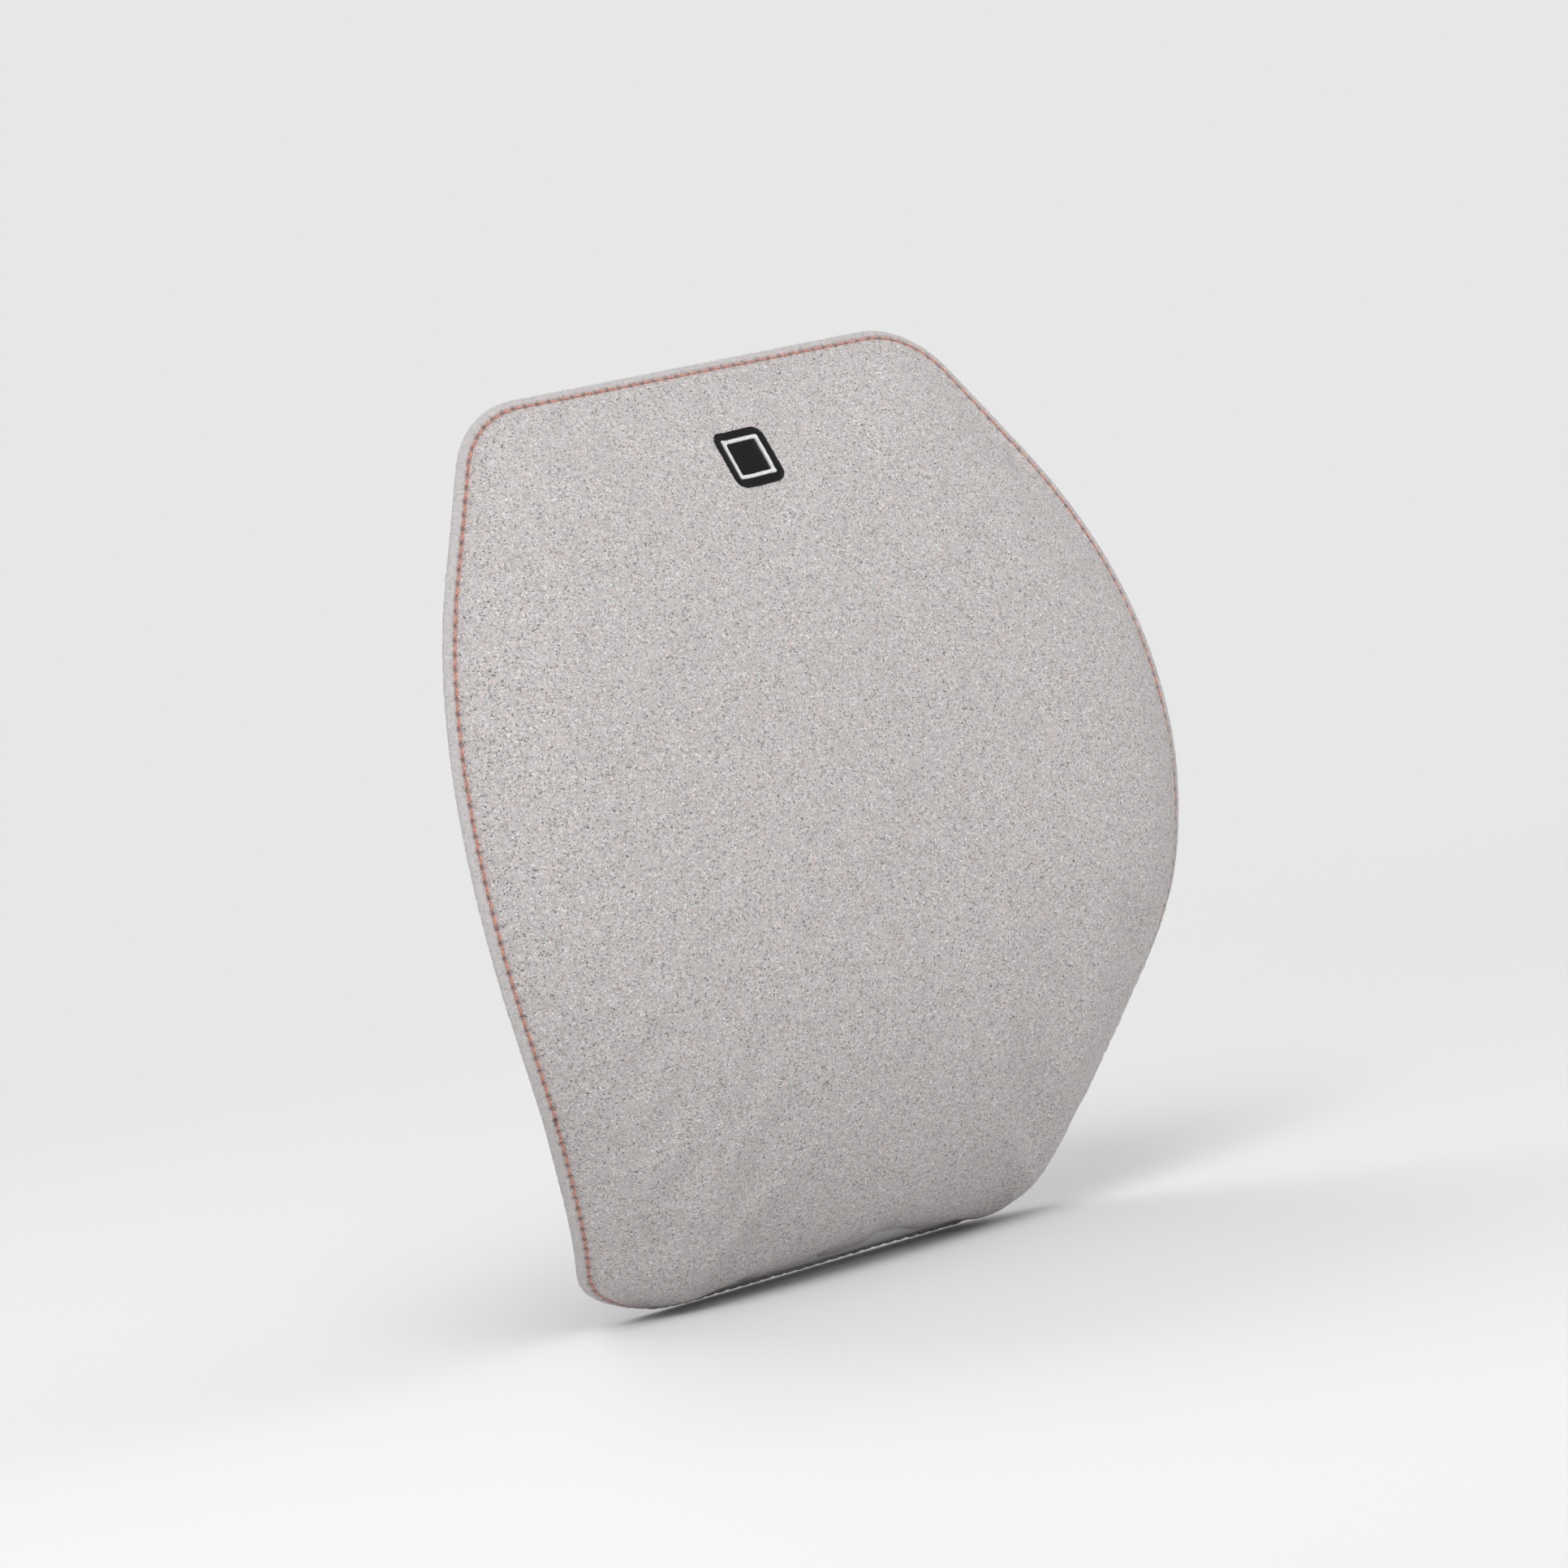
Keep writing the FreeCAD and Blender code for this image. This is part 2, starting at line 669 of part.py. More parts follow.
def hook_strip(up, half_length):
    """A hook-tape strip on the back cover: a woven base, and on it a hook field that is flat outside."""
    half = HOOK_WIDTH / 2
    low = BACK_OUTER + CLEAR / 2
    middle = BACK_OUTER + HOOK_BASE
    base = strip(up - half, up + half, low, middle, -half_length, half_length)
    corners = [e for e in base.Edges if len(e.Vertexes) == 2 and HOOK_BASE / 2 < e.Length < 2 * HOOK_BASE]
    base = base.makeFillet(HOOK_CORNER_R, corners)
    half -= HOOK_SELVEDGE
    reach = half_length - HOOK_SELVEDGE
    sunk = (low + middle) / 2
    field = strip(up - half, up + half, sunk, BACK_OUTER + HOOK_THICK, -reach, reach, flat_outside=True)
    return base.fuse(field)


def hook_stitching(up, half_length):
    """A closed row of stitches on a hook strip's base, just inside its edge."""
    half = HOOK_WIDTH / 2 - HOOK_STITCH_INSET
    reach = half_length - HOOK_STITCH_INSET
    low = BACK_OUTER + HOOK_BASE + THREAD_LIFT
    outer = strip(up - half, up + half, low, low + THREAD / 2, -reach, reach)
    half -= THREAD
    reach -= THREAD
    inner = strip(up - half, up + half, low - CUT_REACH, low + CUT_REACH, -reach, reach)
    return outer.cut(inner)


def care_label():
    """A blank sewn-on label below the zip."""
    low = BACK_OUTER + CLEAR / 2
    half = LABEL_WIDTH / 2
    return strip(LABEL_UP - LABEL_HEIGHT / 2, LABEL_UP + LABEL_HEIGHT / 2, low, low + LABEL_THICK,
                 LABEL_X - half, LABEL_X + half)


# ---- build every piece ---------------------------------------------------------------------------

save("front_cover", front_cover())
back_upper, back_lower = back_panels()
save("back_cover_upper", back_upper)
save("back_cover_lower", back_lower)
save("topstitch_thread", topstitch_thread())
badge_fill, badge_ring = badge()
save("badge_fill", badge_fill)
save("badge_ring", badge_ring)

liner_top = -LAYER_GAP
wadding_top = liner_top - LINER - LAYER_GAP
foam_top = wadding_top - WADDING - LAYER_GAP
save("liner_front", between(four_sides(LINER_INSET), crown, liner_top, crown, liner_top - LINER))
save("fibre_wadding", between(four_sides(WADDING_INSET), crown, wadding_top, crown, wadding_top - WADDING))
save("comfort_foam", between(four_sides(FOAM_INSET), crown, foam_top, level, CLEAR - CORE_IN))
save("foam_core", between(four_sides(CORE_INSET), level, -CORE_IN, level, -CORE_OUT))
save("back_board", between(four_sides(BOARD_INSET), level, -BOARD_IN, level, -BOARD_OUT))
save("liner_back", between(four_sides(BACK_LINER_INSET), level, -LINER_IN, level, -LINER_OUT))

tape_upper, tape_lower = zip_tapes()
save("zip_tape_upper", tape_upper)
save("zip_tape_lower", tape_lower)
coil_upper, coil_lower = zip_coils()
save("zip_coil_upper", coil_upper)
save("zip_coil_lower", coil_lower)
save("zip_stops", zip_stops())
save("zip_stitching", zip_stitching())
save("zip_slider", zip_slider())
save("zip_pull_tab", zip_pull_tab())

save("hook_strip_upper", hook_strip(HOOK_UPPER_UP, HOOK_HALF_LENGTH))
save("hook_strip_lower", hook_strip(HOOK_LOWER_UP, HOOK_LOWER_HALF_LENGTH))
save("hook_stitching", Part.makeCompound([
    hook_stitching(HOOK_UPPER_UP, HOOK_HALF_LENGTH),
    hook_stitching(HOOK_LOWER_UP, HOOK_LOWER_HALF_LENGTH),
]))
save("care_label", care_label())
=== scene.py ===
import math
import random

import bmesh
import bpy
import numpy as np
from mathutils import Matrix, Vector
from mathutils.bvhtree import BVHTree


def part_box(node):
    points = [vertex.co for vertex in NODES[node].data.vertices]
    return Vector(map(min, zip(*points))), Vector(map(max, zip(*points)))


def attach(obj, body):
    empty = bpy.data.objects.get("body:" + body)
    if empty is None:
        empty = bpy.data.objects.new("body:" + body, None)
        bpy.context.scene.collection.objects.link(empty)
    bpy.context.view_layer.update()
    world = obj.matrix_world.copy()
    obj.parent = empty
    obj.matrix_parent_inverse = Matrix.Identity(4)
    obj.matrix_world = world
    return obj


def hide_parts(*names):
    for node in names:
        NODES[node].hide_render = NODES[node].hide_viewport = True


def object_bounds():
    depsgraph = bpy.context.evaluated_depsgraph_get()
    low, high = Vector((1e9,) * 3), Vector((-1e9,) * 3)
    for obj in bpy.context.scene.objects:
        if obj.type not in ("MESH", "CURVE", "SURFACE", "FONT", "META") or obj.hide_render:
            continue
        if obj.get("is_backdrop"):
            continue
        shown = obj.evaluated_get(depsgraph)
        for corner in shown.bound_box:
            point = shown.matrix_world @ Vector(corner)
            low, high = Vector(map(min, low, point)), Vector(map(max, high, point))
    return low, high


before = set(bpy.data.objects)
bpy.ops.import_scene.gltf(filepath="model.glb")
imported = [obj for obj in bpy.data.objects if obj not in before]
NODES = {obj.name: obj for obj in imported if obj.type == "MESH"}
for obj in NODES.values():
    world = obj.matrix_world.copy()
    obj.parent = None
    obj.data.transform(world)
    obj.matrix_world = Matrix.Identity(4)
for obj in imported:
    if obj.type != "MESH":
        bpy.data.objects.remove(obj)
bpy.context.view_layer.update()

MM = 0.001

# ---- the pad's design sizes, millimetres ----

# stitch line that joins front and back, laid out flat
SEAM_HEIGHT = 354.0
SEAM_TOP_HALF = 104.0
SEAM_WIDE_HALF = 188.0
SEAM_WIDE_UP = 206.0
SEAM_BOTTOM_HALF = 102.0
TOP_CORNER_R = 36.0
HIP_R = 212.0
BOTTOM_CORNER_R = 40.0
RIM = 4.3
RIM_FOLD_TOP = 32.0
RIM_FOLD_LOW = 42.0
RIM_FACE = 1.25
RIM_BACK = 0.85

# the lower side corners turn back from the sheet, by this much at the seam, below this height
WRAP = 6.0
WRAP_BELOW = 134.0
WRAP_OVER = 72.0
WRAP_FROM = 0.68
WRAP_SPAN = 0.40

# middle of the whole part's box, behind and above the middle of the sheet
ORIGIN_BACK = 30.8
ORIGIN_UP = 8.653

# bow of the sheet in which front and back are sewn together
BOW_1 = 0.60
BOW_2 = -0.31

# rise of the face and depth of the back from that sheet
SEAM_LIFT = 0.5
FACE_RISE = 15.5
FACE_GAIN_DOWN = 0.50
FACE_RUN = 52.0
FACE_POWER = 2.15
DOME = 3.0
BACK_DEPTH = 16.8
BACK_RUN = 34.0
BACK_POWER = 3.2
BACK_OUTSIDE = SEAM_LIFT + BACK_DEPTH

# stitching
STITCH_PITCH = 5.5
THREAD_R = 0.45
THIN_THREAD_R = 0.22
NEEDLE_DIP = 0.40
HOLE_PULL = 0.20

# zip
ZIP_UP = 100.0
ZIP_HALF = 92.0
SLOT_HALF = 5.0
SLOT_CLOSED = 0.12
TAPE_DEPTH = 16.0
TAPE_THICK = 0.6
TAPE_WIDTH = 13.0
TAPE_GAP = 0.6
TAPE_OVERRUN = 13.0
COIL_DEPTH = 16.9
COIL_PITCH = 1.30
COIL_WIRE_R = 0.27

# hook strips: width, and the middle of each up the sheet
HOOK_WIDTH = 25.0
HOOKS_UP = {"hook_strip_upper": 282.0, "hook_strip_lower": 150.0}
HOOK_MARGIN = 4.5
HOOK_PITCH_LONG = 1.9
HOOK_PITCH_HIGH = 1.45
HOOK_WIRE_R = 0.13

# badge: side, middle's distance down from the top of the stitch line, corner, and edges of the white ring
BADGE_SIDE = 23.0
BADGE_DOWN = 38.0
BADGE_R = 4.0
RING_OUT = 8.3
RING_IN = 6.5

# care label
LABEL_UP = 66.0
LABEL_HALF = 11.0

# the blown-up face: how far a point may move from the design height
CAP = 5.0

# loose fibres
FACE_FIBRES = 9000
RIM_FIBRES = 3000

# mesh density of the covers: cells across the top and bottom, and up each side
CELLS_ACROSS = 150
CELLS_UP = 230


# ---- the bowed sheet ----


def height_share(v):
    """-1 at the pad's bottom, 1 at its top."""
    return 2.0 * np.asarray(v, float) / SEAM_HEIGHT - 1.0


def tilt(v):
    """Lean of the sheet at height v along it, in radians; positive leans back going up."""
    s = height_share(v)
    return BOW_1 * s + BOW_2 * s * s


_V = np.linspace(-40.0, SEAM_HEIGHT + 40.0, 4341)
_STEP = _V[1] - _V[0]


def _running(values):
    total = np.concatenate([[0.0], np.cumsum((values[1:] + values[:-1]) / 2.0 * _STEP)])
    return total - np.interp(SEAM_HEIGHT / 2.0, _V, total)


_Y = _running(np.sin(tilt(_V)))
_Z = _running(np.cos(tilt(_V)))


def place(u, v, h):
    """Points in metres at u across, v up the sheet and h out of it towards the front, all in mm."""
    u, v, h = np.broadcast_arrays(np.asarray(u, float), v, h)
    angle = tilt(v)
    y = np.interp(v, _V, _Y) - h * np.cos(angle) - ORIGIN_BACK
    z = np.interp(v, _V, _Z) + h * np.sin(angle) - ORIGIN_UP
    return np.stack([u, y, z], -1) * MM


def smooth_step(x):
    """0 below 0 and 1 above 1, with a smooth rise between."""
    x = np.clip(x, 0.0, 1.0)
    return x * x * (3.0 - 2.0 * x)


# ---- outline ----


ARC_STEPS = 48


def arc_corner(before, corner, after, radius):
    """Points of the arc that rounds a corner."""
    before, corner, after = (np.array(p, float) for p in (before, corner, after))
    p = (before - corner) / np.linalg.norm(before - corner)
    q = (after - corner) / np.linalg.norm(after - corner)
    half = math.acos(float(p @ q)) / 2.0
    bis = (p + q) / np.linalg.norm(p + q)
    centre = corner + bis * radius / math.sin(half)
    first = corner + p * radius / math.tan(half) - centre
    last = corner + q * radius / math.tan(half) - centre
    start = math.atan2(first[1], first[0])
    turn = (math.atan2(last[1], last[0]) - start + math.pi) % (2 * math.pi) - math.pi
    t = start + turn * np.linspace(0.0, 1.0, ARC_STEPS + 1)
    return centre + radius * np.stack([np.cos(t), np.sin(t)], -1)


def dense(path, count):
    """count points evenly along a path, ends included."""
    path = np.asarray(path, float)
    run = np.concatenate([[0.0], np.cumsum(np.linalg.norm(np.diff(path, axis=0), axis=1))])
    at = np.linspace(0.0, run[-1], count)
    return np.stack([np.interp(at, run, path[:, 0]), np.interp(at, run, path[:, 1])], -1)


def seam_sides():
    """(bottom, right, top, left) of the stitch line, anticlockwise, meeting at the middles of its corners."""
    low = (SEAM_BOTTOM_HALF, 0.0)
    wide = (SEAM_WIDE_HALF, SEAM_WIDE_UP)
    high = (SEAM_TOP_HALF, SEAM_HEIGHT)
    first = arc_corner((0.0, 0.0), low, wide, BOTTOM_CORNER_R)
    second = arc_corner(low, wide, high, HIP_R)
    third = arc_corner(wide, high, (0.0, SEAM_HEIGHT), TOP_CORNER_R)
    half = len(first) // 2
    right = np.concatenate([first[half:], second, third[: half + 1]])
    bottom = np.concatenate([first[: half + 1][::-1] * (-1, 1), first[: half + 1]])
    top = np.concatenate([third[half:], third[half:][::-1] * (-1, 1)])
    return bottom, right, top, right[::-1] * (-1, 1)


def seam_ring(across, up):
    """The stitch line as a closed ring of points, with across or up of them on each of its four sides."""
    counts = (across, up, across, up)
    return np.concatenate([dense(side, count + 1)[:-1] for side, count in zip(seam_sides(), counts)])


def ring_normals(ring):
    """Outward normals of a closed anticlockwise ring."""
    way = np.roll(ring, -1, 0) - np.roll(ring, 1, 0)
    way /= np.linalg.norm(way, axis=1)[:, None]
    return np.stack([way[:, 1], -way[:, 0]], -1)


def ring_runs(ring):
    """Distance along a closed ring at each point, and its whole length."""
    steps = np.linalg.norm(np.roll(ring, -1, 0) - ring, axis=1)
    return np.concatenate([[0.0], np.cumsum(steps)[:-1]]), steps.sum()


SEAM = seam_ring(240, 360)
GIRTH = ring_runs(SEAM)[1]
STITCHES = round(GIRTH / STITCH_PITCH)
RING = seam_ring(2 * CELLS_ACROSS, 2 * CELLS_UP)
RING_NORMAL = ring_normals(RING)


def distance_from_seam(u, v):
    """Distance of points inwards from the stitch line, negative outside it, worked out side by side."""
    points = np.stack([np.ravel(u), np.ravel(v)], -1)
    best = np.full(len(points), 1e9)
    sign = np.ones(len(points))
    for corner, way in zip(SEAM, np.roll(SEAM, -1, 0) - SEAM):
        rel = points - corner
        share = np.clip((rel @ way) / (way @ way), 0.0, 1.0)
        off = rel - share[:, None] * way
        dist = np.hypot(off[:, 0], off[:, 1])
        closer = dist < best
        best[closer] = dist[closer]
        sign[closer] = np.sign(way[0] * rel[closer, 1] - way[1] * rel[closer, 0] + 1e-12)
    return (best * sign).reshape(np.shape(u))


FIELD_STEP = 1.5
FIELD_MARGIN = 12.0
FIELD_U = np.arange(-SEAM_WIDE_HALF - FIELD_MARGIN, SEAM_WIDE_HALF + FIELD_MARGIN, FIELD_STEP)
FIELD_V = np.arange(-FIELD_MARGIN, SEAM_HEIGHT + FIELD_MARGIN, FIELD_STEP)
FIELD = distance_from_seam(*np.meshgrid(FIELD_U, FIELD_V, indexing="ij"))


def inside_seam(u, v):
    """Distance of points inwards from the stitch line, read between the points of a fine field."""
    i = np.clip((np.asarray(u, float) - FIELD_U[0]) / FIELD_STEP, 0, len(FIELD_U) - 1.001)
    j = np.clip((np.asarray(v, float) - FIELD_V[0]) / FIELD_STEP, 0, len(FIELD_V) - 1.001)
    a, b = i.astype(int), j.astype(int)
    x, y = i - a, j - b
    low = FIELD[a, b] * (1 - x) + FIELD[a + 1, b] * x
    high = FIELD[a, b + 1] * (1 - x) + FIELD[a + 1, b + 1] * x
    return low * (1 - y) + high * y


_SIDE = seam_sides()[1]


def wrap(u, v):
    """How far the sheet turns back towards its lower side corners."""
    half = np.interp(v, _SIDE[:, 1], _SIDE[:, 0])
    beyond = (np.abs(u) / half - WRAP_FROM) / WRAP_SPAN
    return WRAP * smooth_step((WRAP_BELOW - v) / WRAP_OVER) * smooth_step(beyond)


def on_pad(u, v, h):
    """As place, on the sheet with its lower side corners turned back."""
    return place(u, v, h - wrap(u, v))


def coons(bottom, right, top, left):
    """A grid of points between four sides, each given from left to right or from bottom to top."""
    across, up = len(bottom), len(right)
    s = np.linspace(0.0, 1.0, across)[:, None, None]
    t = np.linspace(0.0, 1.0, up)[None, :, None]
    ruled_up = (1 - t) * bottom[:, None] + t * top[:, None]
    ruled_across = (1 - s) * left[None] + s * right[None]
    corners = (1 - s) * (1 - t) * bottom[0] + s * (1 - t) * bottom[-1]
    corners = corners + (1 - s) * t * top[0] + s * t * top[-1]
    return ruled_up + ruled_across - corners


# ---- heights of the face and the back ----


def swell(distance, run, power):
    """0 at the seam, rising to 1 at run in from it."""
    return 1.0 - (1.0 - np.clip(distance / run, 0.0, 1.0)) ** power


def face_height(u, v, distance):
    """Height of the face inside the seam."""
    s = height_share(v)
    rise = FACE_RISE * (1.0 - FACE_GAIN_DOWN * s)
    dome = DOME * (1.0 - (u / SEAM_WIDE_HALF) ** 2) * (1.0 - s * s)
    return SEAM_LIFT + (rise + dome) * swell(distance, FACE_RUN, FACE_POWER)


def back_height(distance):
    """Height of the back inside the seam, a negative number."""
    return -SEAM_LIFT - BACK_DEPTH * swell(distance, BACK_RUN, BACK_POWER)


# ---- small mesh tools ----


def link_new(name, data):
    """A new object that holds data, in the scene."""
    obj = bpy.data.objects.new(name, data)
    bpy.context.scene.collection.objects.link(obj)
    return obj


def new_object(name, points, faces, material):
    """A mesh object from points in metres and faces."""
    if not np.isfinite(np.asarray(points, float)).all():
        raise ValueError(name + " has a point that is not a number")
    mesh = bpy.data.meshes.new(name)
    mesh.from_pydata([tuple(p) for p in points], [], [tuple(int(i) for i in f) for f in faces])
    mesh.validate()
    mesh.polygons.foreach_set("use_smooth", [True] * len(mesh.polygons))
    mesh.update()
    if material is not None:
        mesh.materials.append(material)
    return link_new(name, mesh)


def face_outward(obj):
    """Turns every face of a piece to the outside."""
    mesh = bmesh.new()
    mesh.from_mesh(obj.data)
    bmesh.ops.recalc_face_normals(mesh, faces=mesh.faces)
    mesh.to_mesh(obj.data)
    mesh.free()
    return obj


def set_attribute(obj, name, values):
    """A named number on each point, which a material can read."""
    attribute = obj.data.attributes.new(name, "FLOAT", "POINT")
    attribute.data.foreach_set("value", np.asarray(values, np.float32).ravel())


def grid_faces(rows, columns, start=0, closed_columns=False):
    """Quads of a rows by columns block of points; closed_columns joins the last column to the first."""
    faces = []
    for i in range(rows - 1):
        a, b = start + i * columns, start + (i + 1) * columns
        for j in range(columns if closed_columns else columns - 1):
            k = (j + 1) % columns
            faces.append((a + j, a + k, b + k, b + j))
    return faces


def closed_sweep(rings):
    """(points, faces) of a closed shell through rings with the same number of points each."""
    count, sides = len(rings), len(rings[0])
    faces = grid_faces(count, sides, 0, True)
    faces.append(tuple(range(sides)))
    faces.append(tuple(range(count * sides - 1, (count - 1) * sides - 1, -1)))
    return np.reshape(rings, (-1, 3)), faces


def between(before, after):
    """Quads that join two equally long rows of point numbers."""
    return list(zip(before[:-1], before[1:], after[1:], after[:-1]))


def tube(path, radius, sides=8, up=None):
    """(points, faces) of a tube along a path in metres; radius may be a number for each point."""
    path = np.asarray(path, float)
    count = len(path)
    radius = np.broadcast_to(np.asarray(radius, float), (count,))
    way = np.gradient(path, axis=0)
    way /= np.linalg.norm(way, axis=1)[:, None] + 1e-12
    side = np.zeros_like(path)
    guide = np.array(up if up is not None else (0.0, 0.0, 1.0), float)
    if up is None and abs(way[0] @ guide) > 0.9:
        guide = np.array((1.0, 0.0, 0.0))
    for k in range(count):
        cross = np.cross(way[k], guide)
        side[k] = cross / (np.linalg.norm(cross) + 1e-12)
        if up is None:
            guide = np.cross(side[k], way[k])
    other = np.cross(side, way)
    angle = np.linspace(0.0, 2.0 * math.pi, sides, endpoint=False)[None, :, None]
    ring = np.cos(angle) * side[:, None] + np.sin(angle) * other[:, None]
    return closed_sweep(path[:, None] + radius[:, None, None] * ring)


class Batch:
    """Collects many small shapes into one mesh."""

    def __init__(self):
        self.points, self.faces, self.count = [], [], 0

    def add(self, shape):
        points, faces = shape
        self.points.append(np.asarray(points, float))
        self.faces += [tuple(i + self.count for i in f) for f in faces]
        self.count += len(points)

    def build(self, name, material):
        return face_outward(new_object(name, np.concatenate(self.points), self.faces, material))


def wobble(points, size, seed):
    """Smooth noise between about -1 and 1 at points; its features have the given size in the points' unit."""
    rng = np.random.default_rng(seed)
    points = np.asarray(points, float)
    total = np.zeros(points.shape[:-1])
    for k in range(12):
        way = rng.normal(size=points.shape[-1])
        way *= rng.uniform(0.7, 1.4) / np.linalg.norm(way) / size * 2.0
        total += np.sin(points @ way + rng.uniform(0.0, 2.0 * math.pi))
    return total / 12.0 ** 0.5 * 0.8


# ---- materials ----


class Nodes:
    """Short ways to add and join nodes in one node tree; values may be numbers, colours or outputs."""

    def __init__(self, tree):
        self.tree = tree

    def feed(self, socket, value):
        """A link from an output, or else a fixed value."""
        if isinstance(value, bpy.types.NodeSocket):
            self.tree.links.new(value, socket)
        else:
            socket.default_value = (*value, 1.0) if isinstance(value, tuple) else value

    def node(self, kind, *values, **settings):
        """Outputs of a new node: values go to its inputs in order, settings to its inputs or properties."""
        node = self.tree.nodes.new("ShaderNode" + kind)
        for key, value in [*enumerate(values), *settings.items()]:
            if isinstance(key, str) and key not in node.inputs:
                setattr(node, key, value)
            elif value is not None:
                self.feed(node.inputs[key], value)
        return node.outputs

    def where(self):
        """The object's own coordinates, in metres."""
        return self.node("TexCoord")["Object"]

    def attribute(self, name):
        """A number that set_attribute stored on the mesh."""
        return self.node("Attribute", attribute_name=name)["Fac"]

    def noise(self, scale, source, **settings):
        return self.node("TexNoise", Vector=source, Scale=scale, **settings)["Fac"]

    def ramp(self, source, *stops):
        """A colour ramp through (place, colour or grey) stops."""
        outputs = self.node("ValToRGB", source)
        elements = outputs[0].node.color_ramp.elements
        while len(elements) < len(stops):
            elements.new(0.5)
        for element, (at, colour) in zip(elements, stops):
            element.position = at
            element.color = (*(colour if isinstance(colour, tuple) else (colour,) * 3), 1.0)
        return outputs["Color"]

    def mix(self, factor, a, b, blend="MIX"):
        """A colour mix; a Mix node's colours are its inputs 6 and 7, and its colour output is 2."""
        return self.node("Mix", factor, *[None] * 5, a, b, data_type="RGBA", blend_type=blend)[2]

    def times(self, a, b):
        return self.mix(1.0, a, b, "MULTIPLY")

    def maths(self, operation, *values):
        return self.node("Math", *values, operation=operation)[0]


class Material(Nodes):
    """A material under construction around its principled shader."""

    def __init__(self, name):
        self.made = bpy.data.materials.new(name)
        self.made.use_nodes = True
        super().__init__(self.made.node_tree)
        self.shader = self.tree.nodes["Principled BSDF"]

    def set(self, **values):
        """Shader inputs by name, with _ for a space."""
        for key, value in values.items():
            self.feed(self.shader.inputs[key.replace("_", " ")], value)

    def bump(self, height, distance, strength):
        """Relief of the given height in metres where the height output goes from 0 to 1."""
        self.set(Normal=self.node("Bump", Strength=strength, Distance=distance, Height=height)["Normal"])


def felt_material():
    """Light warm grey wool felt: a heather of pale, dark, pinkish and faint green fibres, brushed."""
    m = Material("felt_heather")
    where = m.where()
    warp = m.node("TexNoise", Vector=where, Scale=1300.0, Detail=3.0)["Color"]
    bent = m.mix(0.0009, where, warp, "ADD")
    pick = m.node("SeparateColor", m.node("TexVoronoi", Vector=bent, Scale=1900.0, feature="F1")["Color"])
    flecks = m.ramp(
        pick[0],
        (0.00, (0.15, 0.145, 0.145)),
        (0.05, (0.29, 0.28, 0.28)),
        (0.14, (0.465, 0.445, 0.445)),
        (0.50, (0.560, 0.537, 0.535)),
        (0.86, (0.65, 0.625, 0.622)),
        (0.96, (0.76, 0.74, 0.74)),
        (1.00, (0.88, 0.86, 0.86)),
    )
    tint = m.ramp(
        pick[1],
        (0.00, (0.90, 1.03, 0.93)),
        (0.08, (0.98, 1.01, 0.98)),
        (0.16, 1.0),
        (0.80, 1.0),
        (0.90, (1.07, 0.98, 0.96)),
        (1.00, (1.15, 0.93, 0.90)),
    )
    fine = m.noise(1900.0, where, Detail=3.0, Distortion=3.5)
    tuft = m.noise(520.0, where, Detail=2.0)
    blotch = m.noise(60.0, where, Detail=2.0)
    colour = m.times(flecks, tint)
    colour = m.times(colour, m.ramp(fine, (0.30, (0.74, 0.73, 0.73)), (0.70, 1.29)))
    colour = m.times(colour, m.ramp(tuft, (0.30, 0.975), (0.70, 1.02)))
    colour = m.times(colour, m.ramp(blotch, (0.32, (0.988, 0.986, 0.988)), (0.68, 1.008)))
    # the rim is painted a smooth paler grey: partly its smoother felt, partly a painted highlight where the
    # curled edge catches the light
    colour = m.mix(m.attribute("rim"), colour, (0.60, 0.578, 0.573))
    # painted shade in the stitch groove and the needle holes, tinted red-brown there for the orange thread
    # going down into them
    colour = m.mix(m.attribute("painted_shade"), colour, (0.32, 0.11, 0.08), "MULTIPLY")
    m.set(Base_Color=colour, Roughness=0.95, Specular_IOR_Level=0.12)
    m.set(Sheen_Weight=0.18, Sheen_Roughness=0.6, Sheen_Tint=(1.0, 0.98, 0.97))
    m.bump(m.noise(2200.0, where, Detail=4.0, Roughness=0.7, Distortion=2.5), 0.0004, 0.7)
    return m.made


def thread_material(name, colour, shade):
    """Glossy sewing thread with its ply, and painted shade where it goes down into the cloth."""
    m = Material(name)
    ply = m.noise(2200.0, m.where(), Detail=2.0)
    tone = m.ramp(ply, (0.30, shade), (0.62, colour))
    m.set(Base_Color=m.mix(m.attribute("sunk"), tone, shade), Roughness=0.55, Sheen_Weight=0.2)
    m.bump(ply, 0.00012, 0.6)
    return m.made


def satin_stitch_material(name, colour, shade):
    """Embroidery thread laid side by side."""
    m = Material(name)
    strands = m.noise(1800.0, m.where(), Detail=2.0)
    m.set(Base_Color=m.ramp(strands, (0.30, shade), (0.68, colour)))
    m.set(Roughness=0.6, Specular_IOR_Level=0.25, Sheen_Weight=0.05)
    m.bump(strands, 0.0001, 0.5)
    return m.made


LOOP_ACROSS = 0.0016
LOOP_UP = 0.0013


